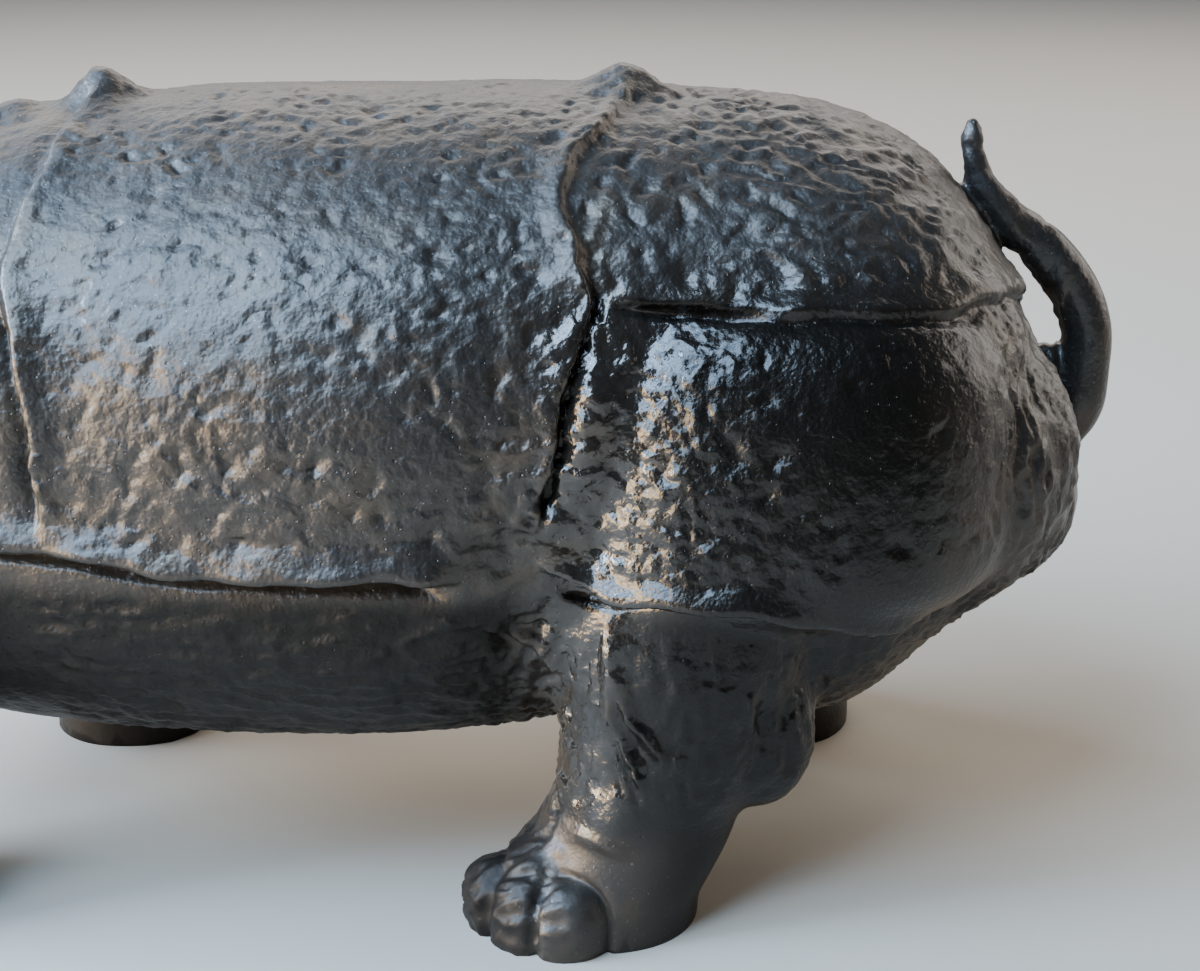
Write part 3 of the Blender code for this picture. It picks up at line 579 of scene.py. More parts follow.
class Line:
    """A smooth line laid on a skin: places, ways along it and ways to its left, seen from outside."""

    def __init__(self, skin, keys, side):
        keys = np.array(keys, float) * (1, -side, 1) * UNIT
        length = np.linalg.norm(np.diff(keys, axis=0), axis=1).sum()
        laid = [skin.snap(p) for p in flow(keys, max(8, int(length / (2.0 * UNIT))))]
        self.places = np.array([place for place, _ in laid])
        facing = np.array([facing for _, facing in laid])
        for _ in range(4):
            facing[1:-1] = (facing[:-2] + 2 * facing[1:-1] + facing[2:]) / 4
        self.facing = facing / np.linalg.norm(facing, axis=1)[:, None]
        along = np.gradient(self.places, axis=0)
        along -= self.facing * (along * self.facing).sum(axis=1)[:, None]
        self.along = along / np.linalg.norm(along, axis=1)[:, None]
        self.leftward = np.cross(self.facing, self.along) * -side
        self.run = np.concatenate([[0], np.linalg.norm(np.diff(self.places, axis=0), axis=1).cumsum()])

    def near(self, skin, reach):
        """The skin's points near the line: indices, distance to its left, distance along, and strength."""
        low, high = self.places.min(axis=0) - reach, self.places.max(axis=0) + reach
        chosen = np.flatnonzero(((skin.points > low) & (skin.points < high)).all(axis=1))
        best = np.empty(len(chosen), int)
        for start in range(0, len(chosen), BATCH):
            part = skin.points[chosen[start:start + BATCH]]
            apart = ((part[:, None, :] - self.places[None]) ** 2).sum(axis=2)
            best[start:start + BATCH] = apart.argmin(axis=1)
        away = skin.points[chosen] - self.places[best]
        off = (away * self.leftward[best]).sum(axis=1)
        rise = (away * self.facing[best]).sum(axis=1)
        past = (away * self.along[best]).sum(axis=1)
        run = self.run[best] + past
        agree = (skin.out[chosen] * self.facing[best]).sum(axis=1)
        fade = min(FADE * UNIT, FADE_SHARE * self.run[-1])
        strength = np.clip(run / fade, 0, 1) * np.clip((self.run[-1] - run) / fade, 0, 1)
        strength *= np.clip((agree - FACING_START) / FACING_SOFT, 0, 1)
        strength *= np.abs(rise) < HEIGHT_REACHED * UNIT
        strength = strength * strength * (3 - 2 * strength)
        return chosen, off, run, strength

# %% The unsteady hand
# How far a fold and a trench waver off their lines, and how long the slow and quick waves of that are.
FOLD_WAVER, TRENCH_WAVER = 1.2, 0.6
SLOW_WAVE, QUICK_WAVE = 11.0, 5.3


def waver(run, seed):
    """A slow unsteadiness of the hand along a line, between -1 and 1."""
    step = run / UNIT
    return 0.5 * np.sin(step / SLOW_WAVE + seed) + 0.5 * np.sin(step / QUICK_WAVE + 2.1 * seed)


print("after 50 units the hand is off by", FOLD_WAVER * waver(50 * UNIT, 1), "units")

# %% The chisel
# A fold reaches this far from its line, the ground that it sets back this far, and a cord or trench so many
# of its half widths. A fold's wall is climbed over twice the wall's width, which is at least this share of
# the groove's, its lip rolls over within the roll's, and the lip's height is unsteady by this share.
FOLD_REACH = 60
SET_BACK_REACH = 32
WIDTHS_REACHED = 3
WALL = 1.6
WALL_SHARE = 0.4
ROLL = 6.0
LIP_UNSTEADY = 0.2


def cut_fold(skin, keys, side, raised, lip, reach, groove, sink, set_back, seed):
    """Raises a rolled lip on one side of a line and sinks a groove under it on the other."""
    chosen, off, run, strength = Line(skin, keys, side).near(skin, FOLD_REACH * UNIT)
    off = raised * off / UNIT + FOLD_WAVER * waver(run, seed)
    climb = np.clip(off / ROLL, 0, 1)
    unsteady = 1 + LIP_UNSTEADY * waver(run, seed + 3)
    above = lip * np.sqrt(climb * (2 - climb)) * np.exp(-(off / reach) ** 2) * unsteady
    under = -groove * np.exp(np.minimum(off, 0) / sink) - set_back * np.exp(-(off / SET_BACK_REACH) ** 2)
    wall = np.clip(off / (2 * max(WALL, WALL_SHARE * sink)) + 0.5, 0, 1)
    wall = wall * wall * (3 - 2 * wall)
    skin.push[chosen] += (under + (above - under) * wall) * strength * UNIT


def lay_cord(skin, keys, side, wide, high):
    """Raises a soft ridge along a line."""
    chosen, off, _, strength = Line(skin, keys, side).near(skin, WIDTHS_REACHED * wide * UNIT)
    skin.push[chosen] += high * np.exp(-(off / (wide * UNIT)) ** 2) * strength * UNIT


def trench(skin, keys, side, wide, deep, seed):
    """The points in or by a trench, and how many units each lies down in it."""
    chosen, off, run, strength = Line(skin, keys, side).near(skin, WIDTHS_REACHED * wide * UNIT)
    off = off / UNIT + TRENCH_WAVER * waver(run, seed)
    return chosen, deep * np.exp(-(off / wide) ** 4) * strength


def press_hollow(skin, centre, side, radii, deep):
    """Presses a rounded hollow into the skin, or raises a knob where the depth is negative."""
    centre = np.array(centre) * (1, -side, 1) * UNIT
    apart = (skin.points - centre) / (np.array(radii) * UNIT)
    skin.push -= deep * UNIT * np.exp(-(apart**2).sum(axis=1))

# %% Parting the toes
# How deep the groove between two toes and the crease round one are, in units. In shares of a toe's radius:
# how wide the groove is, where it ends and how softly, then where the crease lies, how wide it is and how
# softly it ends at the next toe. Only the skin below the last height is looked at.
TOE_GROOVE, TOE_CREASE = 2.4, 2.0
GROOVE_WIDE, GROOVE_END, GROOVE_SOFT = 0.12, 1.5, 0.3
CREASE_AT, CREASE_WIDE, CREASE_SOFT = 1.12, 0.06, 0.15
FOOT_HEIGHT = 60


def part_toes(skin):
    """Sinks a groove between every two toes and a crease round each."""
    low = np.flatnonzero(skin.points[:, 2] < FOOT_HEIGHT * UNIT)
    inside = []
    for side, x, y, turned in FEET:
        for centre, swing in toe_places(x, y, turned):
            away = skin.points[low] / UNIT * (1, side, 1) - centre
            a = math.radians(swing)
            out = away[:, 0] * math.cos(a) + away[:, 1] * math.sin(a)
            across = away[:, 1] * math.cos(a) - away[:, 0] * math.sin(a)
            shares = np.abs(np.stack([out / TOE[0], across / TOE[1], away[:, 2] / TOE[2]]))
            inside.append((shares**TOE_POWER).sum(axis=0) ** (1 / TOE_POWER))
    inside = np.sort(inside, axis=0)
    near = np.clip((GROOVE_END - inside[0]) / GROOVE_SOFT, 0, 1)
    groove = np.exp(-((inside[1] - inside[0]) / GROOVE_WIDE) ** 2) * near
    alone = np.clip((inside[1] - inside[0]) / CREASE_SOFT, 0, 1)
    crease = np.exp(-((inside[0] - CREASE_AT) / CREASE_WIDE) ** 2) * alone
    skin.push[low] -= (TOE_GROOVE * groove + TOE_CREASE * crease) * UNIT

# %% Carving both sides
def carve(clay):
    """Cuts everything that the tables above name, on both sides."""
    skin = Skin(clay)
    part_toes(skin)
    for side in (LEFT, RIGHT):
        for seed, (raised, lip, reach, groove, sink, set_back, keys) in enumerate(FOLDS.values()):
            cut_fold(skin, keys, side, raised, lip, reach, groove, sink, set_back, seed + side)
        for wide, high, keys in CORDS.values():
            lay_cord(skin, keys, side, wide, high)
        for seed, (wide, deep, keys) in enumerate(TRENCHES.values()):
            chosen, depth = trench(skin, keys, side, wide, deep, seed + side)
            skin.push[chosen] -= depth * UNIT
        for centre, radii, deep in HOLLOWS.values():
            press_hollow(skin, centre, side, radii, deep)
    skin.apply()


print("ready to carve", 2 * (len(FOLDS) + len(CORDS) + len(TRENCHES) + len(HOLLOWS)), "forms")

# %% [markdown]
# The wet clay was patted, dragged and pinched all over, and each plate got its own treatment: slanting
# strokes on the flank, pebbles on the thigh, curly ridges on the croup, level wrinkles on the belly. All
# of them start from one ingredient, a smooth random field. Blender's textures could supply it through a
# Displace modifier, but a lattice noise in numpy is thirty lines, gives the same clay on every run, and
# can be stretched any way we like.

# %% A smooth random field
# The whole numbers that stir a cell's place and a seed into bits that look random.
MIXERS = np.array([374761393, 668265263, 2246822519], np.uint32)
STIR = np.uint32(1274126177)
SEED_MIXER, SEED_START = 9176, 13
TEN_BITS = 1023
# How far the field is moved for the next seed, in cells, and what brings its hills up to about 1.
SEED_SHIFT = 17.3
HILL_GAIN = 1.4


def field(points, size, seed):
    """Random hills and hollows about one size across, between -1 and 1, the same on every run."""
    place = points / size + SEED_SHIFT * seed
    cell = np.floor(place)
    inside = place - cell
    fade_in = inside**3 * (inside * (inside * 6 - 15) + 10)
    cell = cell.astype(np.int64)
    total = np.zeros(len(points))
    for corner in np.ndindex(2, 2, 2):
        at = (cell + corner).astype(np.uint32)
        mixed = (at * MIXERS).sum(axis=1, dtype=np.uint32) + np.uint32(seed * SEED_MIXER + SEED_START)
        mixed = (mixed ^ (mixed >> 13)) * STIR
        mixed ^= mixed >> 16
        bits = [(mixed >> shift) & TEN_BITS for shift in (0, 10, 20)]
        slopes = np.stack(bits, axis=1) / (TEN_BITS / 2) - 1
        share = np.where(corner, fade_in, 1 - fade_in).prod(axis=1)
        total += share * (slopes * (inside - corner)).sum(axis=1)
    return total * HILL_GAIN


sample = np.random.default_rng(4).uniform(-100, 100, (2000, 3))
print("the field runs from", field(sample, 9.0, 1).min(), "to", field(sample, 9.0, 1).max())

# %% [markdown]
# Stretching a field makes strokes out of hills, folding it at zero makes sharp creases, and bending the
# place where it is read makes the creases curl. These three moves give every kind of mark on this animal.

# %% Strokes, creases and curls
def stretched(points, way, length, size, seed):
    """Marks drawn out along a way, so many times as long as they are wide."""
    way = np.array(way, float) / np.linalg.norm(way)
    along = points @ way
    return field(points - np.outer(along * (1 - 1 / length), way), size, seed)


def creased(hills, sharpness):
    """Soft tops with sharp valleys between them, between -1 and 1."""
    return 1 - 2 * np.clip(1 - np.abs(hills), 0, 1) ** sharpness


def curling(points, size, bend, seed):
    """Places pushed about, so that what is read there curls."""
    return points + bend * np.stack([field(points, size, seed + k) for k in range(3)], axis=1)


def between(value, low, high, soft):
    """1 inside a range, 0 outside it, with soft ends."""
    rise = np.clip((value - low) / soft + 0.5, 0, 1) * np.clip((high - value) / soft + 0.5, 0, 1)
    return rise * rise * (3 - 2 * rise)


print("3 lies", between(3, 0, 4, 4), "inside 0 to 4 with soft ends")

# %% [markdown]
# Each plate is a region of the body, told by where it lies. Its marks fade out into its neighbours' over
# a centimetre, because a real thumb doesn't stop at a border. The feet, tail, horn and ears stay smooth.

# %% Treat every plate in its own way
def plates(p):
    """How much each point belongs to each plate, between 0 and 1. A range's last number is its softness."""
    x, y, z = p.T
    side = np.abs(y)
    # How far back the fold before the hip runs at each height, which parts the barrel from the hind plates.
    hip = 130 + 12 * np.exp(-(((z - 270) / 22) ** 2)) + 24 * between(z, 312, 400, 24)
    barrel = between(x, -78, 900, 12) * between(hip - x, 0, 900, 12)
    behind_hip = between(x - hip, 0, 900, 12)
    return {
        "flank": barrel * between(z, 176, 400, 14),
        "low_flank": barrel * between(z, 168, 215, 24),
        "by_the_hip": between(hip - x, -4, 34, 20) * between(z, 104, 300, 20),
        "belly": barrel * between(z, -50, 152, 10),
        "croup": behind_hip * between(z, 268, 400, 10),
        "thigh": behind_hip * between(z, 164, 262, 8) * between(x, 0, 300, 20),
        "rear": between(x, 296, 400, 20) * between(z, 120, 262, 16) * between(x, 0, 341, 6),
        "under": behind_hip * between(z, 60, 144, 12) * between(side, -1, 62, 20),
        "shoulder": between(x, -196, -84, 12) * between(z, 150, 400, 14),
        "foreleg": between(x, -215, -84, 12) * between(z, 60, 150, 14),
        "shank": between(z, 60, 142, 22) * between(side, 46, 200, 20) * between(x, 90, 300, 10),
        "head": between(x, -345, -212, 16) * between(z, 100, 268, 10),
    }


print(len(plates(np.zeros((1, 3)))), "plates")

# %% Marks of the hand
def pressed(hills, from_height):
    """Only the tops of the hills that rise above a height, turned over into separate dents."""
    return -np.clip(hills - from_height, 0, 1)


def marks_of_the_hand(p):
    """Every kind of mark, as a height at each point: about 1 deep or high at most.

    Each field has the size of its hills and its seed, and a stretched one first its way and its length.
    """
    ripple = curling(p, 26, 4, 22)
    drag = curling(p, 26, 5, 27)
    swirl = curling(p, 20, 7, 13)
    return {
        "thumbed": pressed(field(p, 9.5, 3), 0.2) + 0.6 * pressed(field(p, 5.2, 4), 0.25),
        "dragged": pressed(stretched(p, (0.62, 0, 0.78), 2.4, 4.6, 5), 0.12) + 0.16 * field(p, 4.0, 6),
        "blobs": creased(field(curling(p, 14, 3, 7), 10, 10), 1.6),
        "pebbles": creased(field(curling(p, 9, 2, 8), 4.8, 11), 1.6) + 0.5 * field(p, 3.4, 12),
        "waves": -creased(stretched(swirl, (1, 0.2, -0.35), 2.6, 7.0, 16), 2.6),
        "hatch": stretched(curling(p, 30, 5, 17), (0.5, 0.3, -0.8), 2.6, 3.6, 20),
        "gouges": pressed(stretched(curling(p, 20, 4, 18), (0.2, 0, 1), 2.6, 7.0, 21), 0.08),
        "level": -creased(stretched(ripple, (1, 0, 0), 4.0, 8, 25), 2.0) + 0.5 * field(p, 5, 26),
        "upright": -creased(stretched(drag, (0, 0, 1), 3.0, 7, 30), 2.0) + 0.5 * field(p, 4.5, 31),
        "lumps": creased(field(curling(p, 16, 3, 33), 6.5, 36), 1.4),
    }


print(len(marks_of_the_hand(np.zeros((1, 3)))), "kinds of mark")

# %% A recipe for every plate
# How strongly each plate is marked, in units.
RECIPES = {
    "flank": {"thumbed": 2.4, "dragged": 1.8, "lumps": 0.3},
    "low_flank": {"level": 0.5, "blobs": 0.5},
    "by_the_hip": {"gouges": 2.2, "blobs": 0.5},
    "belly": {"level": 1.1, "thumbed": 1.8, "lumps": 0.3},
    "croup_front": {"gouges": 3.6},
    "croup_back": {"waves": 0.8},
    "croup": {"blobs": 0.7, "hatch": 0.2, "pebbles": 0.15},
    "thigh_bulge": {"pebbles": 0.35, "blobs": 0.7},
    "thigh": {"thumbed": 2.2, "pebbles": 0.2, "hatch": 0.2},
    "rear": {"upright": 1.0, "blobs": 0.6, "hatch": 0.14},
    "under": {"thumbed": 0.8},
    "shoulder": {"dragged": 1.6, "thumbed": 2.0},
    "foreleg": {"upright": 0.4},
    "shank": {"thumbed": 2.0, "upright": 0.7, "lumps": 0.4, "pebbles": 0.25},
    "head": {"thumbed": 0.7, "upright": 0.2},
}
# How high the broad pats are, the smaller ones as a share of them, how patchy the flank is, how much plainer
# the right side is, and the height above the ground where the pats begin.
PATS = 0.7
SMALL_PATS = 0.6
PATCHY = 0.9
PLAINER = 0.5
SOLE_CALM = 40


def work_the_skin(skin):
    """Marks every plate by its recipe, over broad pats everywhere, and more plainly on the right side."""
    p = skin.points / UNIT
    x, y, z = p.T
    plate = plates(p)
    plate["flank"] = plate["flank"] * (1 + PATCHY * field(p, 34, 37))
    plate["croup_front"] = plate["croup"] * between(x, 0, 212, 40)
    plate["croup_back"] = plate["croup"] * between(x, 190, 290, 40)
    plate["thigh_bulge"] = plate["thigh"] * between(x, 0, 205, 60)
    marks = marks_of_the_hand(p)
    pushed = between(z, SOLE_CALM, 400, 30) * PATS * (field(p, 44, 1) + SMALL_PATS * field(p, 22, 2))
    for name, recipe in RECIPES.items():
        for mark, strength in recipe.items():
            pushed += plate[name] * strength * marks[mark]
    plainer = 1 - PLAINER * between(y, 20, 900, 40)
    skin.push += plainer * UNIT * pushed


print(len(RECIPES), "recipes of", sum(len(recipe) for recipe in RECIPES.values()), "marks")

# %% [markdown]
# Some marks are too particular for noise: a few warts sit by the folds, low rings with a dimple, as a
# fingertip leaves them.

# %% Warts
# Each wart's centre, its half width and its height.
WARTS = {
    "by_the_flank": ((116, -133, 188), 4.4, 1.4),
    "over_the_crease": ((182, -118, 271), 4.0, 1.4),
    "under_the_rim": ((64, -133, 170), 3.2, 0.8),
    "behind_the_shoulder": ((-40, -128, 214), 3.4, 0.8),
    "on_the_croup": ((236, -96, 296), 4.0, 0.9),
}
# In half widths: where the ring runs and how wide it and the dimple are; then the dimple's depth, as a share.
RING_AT, RING_WIDE, DIMPLE_WIDE = 0.9, 0.45, 0.5
DIMPLE_DEPTH = 0.5


def raise_warts(skin):
    """Low rings with a dimple, as a fingertip leaves them."""
    for centre, wide, high in WARTS.values():
        for side in (LEFT, RIGHT):
            away = np.linalg.norm(skin.points / UNIT - np.array(centre) * (1, -side, 1), axis=1) / wide
            ring = np.exp(-(((away - RING_AT) / RING_WIDE) ** 2))
            dimple = np.exp(-((away / DIMPLE_WIDE) ** 2))
            skin.push += UNIT * high * (ring - DIMPLE_DEPTH * dimple)


print(len(WARTS), "warts on each side")

# %% [markdown]
# A figure is cast to stand. Its feet are cut off level, as a wet casting's are on the potter's board, and
# the middle of its bounding box is brought over the origin, where the solid model's is.

# %% Soles and centring
# A sole's faces look down at least this steeply and lie below this height.
SOLE_FACING = -0.999
SOLE_HEIGHT = 0.1
CUT_TOLERANCE = 1e-7


def flatten_soles(clay):
    """Cuts the feet off level, so that the soles lie on the ground."""
    with opened(clay) as shell:
        everything = shell.verts[:] + shell.edges[:] + shell.faces[:]
        level = {"plane_co": (0, 0, 0), "plane_no": (0, 0, -1)}
        cut = bmesh.ops.bisect_plane(shell, geom=everything, dist=CUT_TOLERANCE, clear_outer=True, **level)
        rims = [e for e in cut["geom_cut"] if isinstance(e, bmesh.types.BMEdge)]
        bmesh.ops.holes_fill(shell, edges=rims, sides=0)
        bmesh.ops.triangulate(shell, faces=shell.faces[:])
        bmesh.ops.recalc_face_normals(shell, faces=shell.faces)


def centre_over_origin(clay):
    """Moves the figure level, until the middle of its bounding box is over the origin."""
    low, high = (np.array([f(v.co[k] for v in clay.data.vertices) for k in range(3)]) for f in (min, max))
    middle = (low + high) / 2
    print("centred by", -middle[0], -middle[1])
    clay.data.transform(Matrix.Translation((-middle[0], -middle[1], 0)))

# %% [markdown]
# Glaze runs thin off the edges, and the hollows are darkened with painted shade, so the material will want
# to know which is which. The skin itself can tell: smooth a copy over a few millimetres, and see how far
# every point lies under it. The trenches count as hollow from wall to wall. The measure is kept on the mesh
# as an attribute, and thinning the mesh out later carries it along.

# %% How hollow the skin is
# How far the skin's surroundings reach, and how many units a trench counts as hollow.
HOLLOW_REACH = 4.0 * UNIT
TRENCH_HOLLOW = 1.6


def remember_hollows(clay):
    """Keeps on every point how many units it lies under its surroundings, or above them where negative."""
    calm = clay.copy()
    calm.data = clay.data.copy()
    bpy.context.scene.collection.objects.link(calm)
    smooth(calm, HOLLOW_REACH, SKIN_CELL)
    worked, smoothed = Skin(clay), Skin(calm)
    depth = ((smoothed.points - worked.points) * smoothed.out).sum(axis=1) / UNIT
    for side in (LEFT, RIGHT):
        for seed, (wide, _, keys) in enumerate(TRENCHES.values()):
            chosen, inside = trench(worked, keys, side, wide, TRENCH_HOLLOW, seed + side)
            depth[chosen] = np.maximum(depth[chosen], inside)
    clay.data.attributes.new("hollow", "FLOAT", "POINT").data.foreach_set("value", depth.astype(np.float32))
    bpy.data.objects.remove(calm)
    print("the deepest hollow is", depth.max(), "units under its surroundings")

# %% [markdown]
# The skin now has far more triangles than it needs. Decimate takes away those that change the form least,
# so the lively places keep small ones. A vertex group tells it where it may be bolder: a point that
# weighs less than one costs extra to remove, and here that is the flank and hind quarters, which are seen
# from close by.

# %% Thin out the skin
# What lies on the camera's side of this y and behind this x is seen from close by.
NEAR_Y, NEAR_X = 10, -125
NEAR_WEIGHT = 0.4
NEAR_CARE = 0.0003
UNFOLD_ROUNDS = 6
# A triangle is tipped over if the cosine between it and a corner's own direction is below this.
TIPPED = 0.35


def thin_out(clay, triangles):
    """Keeps fewer, larger triangles where the form is calm or far from the eye."""
    places = np.empty(3 * len(clay.data.vertices))
    clay.data.vertices.foreach_get("co", places)
    x, y, _ = places.reshape(-1, 3).T / UNIT
    near = (y < NEAR_Y) & (x > NEAR_X)
    bold = clay.vertex_groups.new(name="may_be_coarse")
    bold.add(np.flatnonzero(near).tolist(), NEAR_WEIGHT, "REPLACE")
    bold.add(np.flatnonzero(~near).tolist(), 1.0, "REPLACE")
    thinned = clay.modifiers.new("thin", "DECIMATE")
    thinned.ratio = triangles / (2 * len(clay.data.polygons))
    thinned.use_collapse_triangulate = True
    thinned.vertex_group = bold.name
    thinned.vertex_group_factor = NEAR_CARE
    apply_modifiers(clay)
    clay.vertex_groups.clear()


def unfold(clay):
    """Evens out the few small triangles that thinning has tipped over on their neighbours."""
    every_way = {"use_axis_x": True, "use_axis_y": True, "use_axis_z": True}
    with opened(clay) as shell:
        for _ in range(UNFOLD_ROUNDS):
            shell.normal_update()
            tipped = {v for f in shell.faces for v in f.verts if f.normal.dot(v.normal) < TIPPED}
            bmesh.ops.smooth_vert(shell, verts=list(tipped), factor=0.5, **every_way)
    print(len(tipped), "points evened out in the last round")

# %% [markdown]
# Now everything is ready to be made. The order matters as it does with clay: the large masses are fused
# and smoothed first, so that their joins flow; small forms are pressed on after that, so that they stay
# crisp; the folds are cut next, and the marks of the hand come last, over everything. Only then is the
# skin thinned out: Decimate keeps small triangles where the form is lively and large ones where it is
# calm.

# %% Model the figure
figure = fuse("glazed_rhinoceros", large_masses(), MASS_CELL)
smooth(figure, JOIN_RADIUS, MASS_CELL)
figure = fuse("glazed_rhinoceros", [figure] + small_masses(), SKIN_CELL)
smooth(figure, DETAIL_RADIUS, SKIN_CELL)
print(len(figure.data.polygons), "faces before carving")

# %% Cut the folds and work the skin
carve(figure)
smooth(figure, FOLD_SOFTNESS, SKIN_CELL)
surface = Skin(figure)
work_the_skin(surface)
raise_warts(surface)
surface.apply()
print("the hand moved the skin by", surface.push.min() / UNIT, "to", surface.push.max() / UNIT, "units")

# %% [markdown]
# The hollows are measured first, while the cells are still even. Thinning comes next, then the soles, and
# the sole's faces stay flat while all others are shaded smooth. The last lines attach this one skin to the
# frame's root and hide the solid figure that it is dressed over.

# %% Thin out, cut the soles and centre
remember_hollows(figure)
thin_out(figure, TRIANGLES_KEPT)
unfold(figure)
flatten_soles(figure)
centre_over_origin(figure)
figure.data.shade_smooth()
for face in figure.data.polygons:
    face.use_smooth = not (face.normal.z < SOLE_FACING and face.center.z < SOLE_HEIGHT * UNIT)
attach(figure, "root")
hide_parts("rhinoceros")
print(len(figure.data.polygons), "triangles kept")

# %% [markdown]
# # The glaze
#
# The glaze is nearly black and its beauty is in how it shines. A shader graph says that well, and maths
# in it reads best as plain Python. So one small class wraps a socket: adding or multiplying two of them
# adds the Math node that does it, and colours and vectors go through Mix and Vector Math, because a Math
# node would turn them grey. Every other node comes from one method that takes its type, its settings and
# what its sockets hold.

# %% Sockets that can be added and multiplied
class Wire:
    """A socket of a node tree, in expressions."""

    def __init__(self, tree, socket):
        self.tree, self.socket = tree, socket

    def combine(self, operation, first, second):
        """The node that suits what is combined: colours, vectors or plain values."""
        kinds = {w.socket.type for w in (first, second) if isinstance(w, Wire)}
        if "RGBA" in kinds:
            settings = {"data_type": "RGBA", "blend_type": operation}
            return self.tree.node("ShaderNodeMix", settings, {0: 1.0, 6: first, 7: second}, out=2)
        if "VECTOR" in kinds:
            return self.tree.node("ShaderNodeVectorMath", {"operation": operation}, {0: first, 1: second})
        return self.tree.node("ShaderNodeMath", {"operation": operation}, {0: first, 1: second})

    def __add__(self, other):
        return self.combine("ADD", self, other)

    def __radd__(self, other):
        return self.combine("ADD", other, self)

    def __sub__(self, other):
        return self.combine("SUBTRACT", self, other)

    def __rsub__(self, other):
        return self.combine("SUBTRACT", other, self)

    def __mul__(self, other):
        return self.combine("MULTIPLY", self, other)

    def __rmul__(self, other):
        return self.combine("MULTIPLY", other, self)

# %% Trees of nodes
class Tree:
    """A material's nodes, emptied, with one way to add to them."""

    def __init__(self, name):
        self.material = bpy.data.materials.new(name)
        self.material.use_nodes = True
        self.nodes = self.material.node_tree.nodes
        self.links = self.material.node_tree.links
        self.nodes.clear()

    def node(self, kind, settings=None, sockets=None, out=0):
        """Adds a node: its settings first, then the values or wires of its sockets, by name or place."""
        made = self.nodes.new(kind)
        for name, value in (settings or {}).items():
            setattr(made, name, value)
        for name, value in (sockets or {}).items():
            if isinstance(value, Wire):
                self.links.new(value.socket, made.inputs[name])
            elif made.inputs[name].type == "VECTOR" and isinstance(value, (int, float)):
                made.inputs[name].default_value = (value,) * 3
            else:
                made.inputs[name].default_value = value
        return Wire(self, made.outputs[out]) if made.outputs else made

    def blend(self, share, first, second):
        """A colour between two colours."""
        settings = {"data_type": "RGBA", "blend_type": "MIX"}
        return self.node("ShaderNodeMix", settings, {0: share, 6: first, 7: second}, out=2)

    def rise(self, value, low, high):
        """0 below one level, 1 above another, and soft between; the other way round if low is above high."""
        settings = {"interpolation_type": "SMOOTHSTEP"}
        return self.node("ShaderNodeMapRange", settings, {"Value": value, "From Min": low, "From Max": high})


print("wires and trees are ready")

# %% [markdown]
# What does the glaze do on the real figure? It draws thin over edges, where the clay warms it to brown. It
# breaks into fine pinholes and specks. It is glossier where it ran thick and more satin where it is thin.
# The hollows and the shaded places are darkened besides, as painted shade. Each of these is a field of its
# own below, in millimetres of the figure. The finest grain is bump, because no mesh could carry it.
# Everything larger is already in the clay.

# %% Fields of the glaze
def glaze_fields(tree):
    """The place on the figure in millimetres, and the ways to read a field there."""
    place = tree.node("ShaderNodeTexCoord", out="Object")
    place = place * (1.0 / UNIT)

    def cloud(size, detail=2.0, roughness=0.5, stretch=None):
        """Soft patches about one size across, between 0 and 1."""
        at = place * (1.0 / size) if stretch is None else place * tuple(s / size for s in stretch)
        sockets = {"Vector": at, "Scale": 1.0, "Detail": detail, "Roughness": roughness}
        return tree.node("ShaderNodeTexNoise", None, sockets, out="Fac")

    def dots(spacing, wide):
        """Round dots: 1 in the middle of some cells, 0 between them."""
        at = place * (1.0 / spacing)
        sockets = {"Vector": at, "Scale": 1.0}
        gap = tree.node("ShaderNodeTexVoronoi", {"feature": "F1"}, sockets, out="Distance")
        return tree.rise(gap, wide * 1.5, wide)

    def along(at):
        """The three distances of a place, each as a wire."""
        apart = tree.node("ShaderNodeSeparateXYZ", None, {"Vector": at}).socket.node
        return [Wire(tree, out) for out in apart.outputs]

    return place, cloud, dots, along

# %% [markdown]
# The figure glints like worn gunmetal, so the base of the Principled shader is a dark metal, satin enough
# to blur the room. Where the glaze ran thick, on the thigh and down the shin, it is polished: the base is
# less rough there and a thin clear coat adds a second, crisper highlight. The belly, the shaded side of
# the thigh and the shank are darkened towards black as painted shade. The cracks lose their coat, because a
# mirror inside a groove would shine like a wire, and are painted black as shade. A plain black dielectric
# would be simpler, but it turns dull wherever it doesn't mirror a light at a low angle.

# %% Where the glaze changes
# A pair gives the level where a share is 0, and the one where it is 1: a place on the figure in units, the
# depth of a hollow in units for cracked and worn, and the value of a cloud for thin glaze and specks.
THIGH_FRONT, TAIL_ROOT, THIGH_TOP = (112, 140), (300, 262), (285, 255)
ANKLE, KNEE, SHIN_EDGE = (40, 62), (152, 142), (146, 164)
BELLY_END, BELLY_TOP, BACK = (128, 104), (160, 148), (262, 300)
THIGH_TURN = (155, 190)
CRACKED, WORN = (0.45, 1.1), (-0.15, -0.6)
THIN, SPECKLED = (0.45, 0.72), (0.70, 0.78)
BLACK = (0.056, 0.048, 0.041, 1)
BROWN = (0.090, 0.066, 0.045, 1)
GREY = (0.30, 0.29, 0.28, 1)
# The near-black of the painted shade.
PAINTED_SHADE = (0.012, 0.010, 0.008, 1)
print("from black", BLACK[:3], "to brown", BROWN[:3])

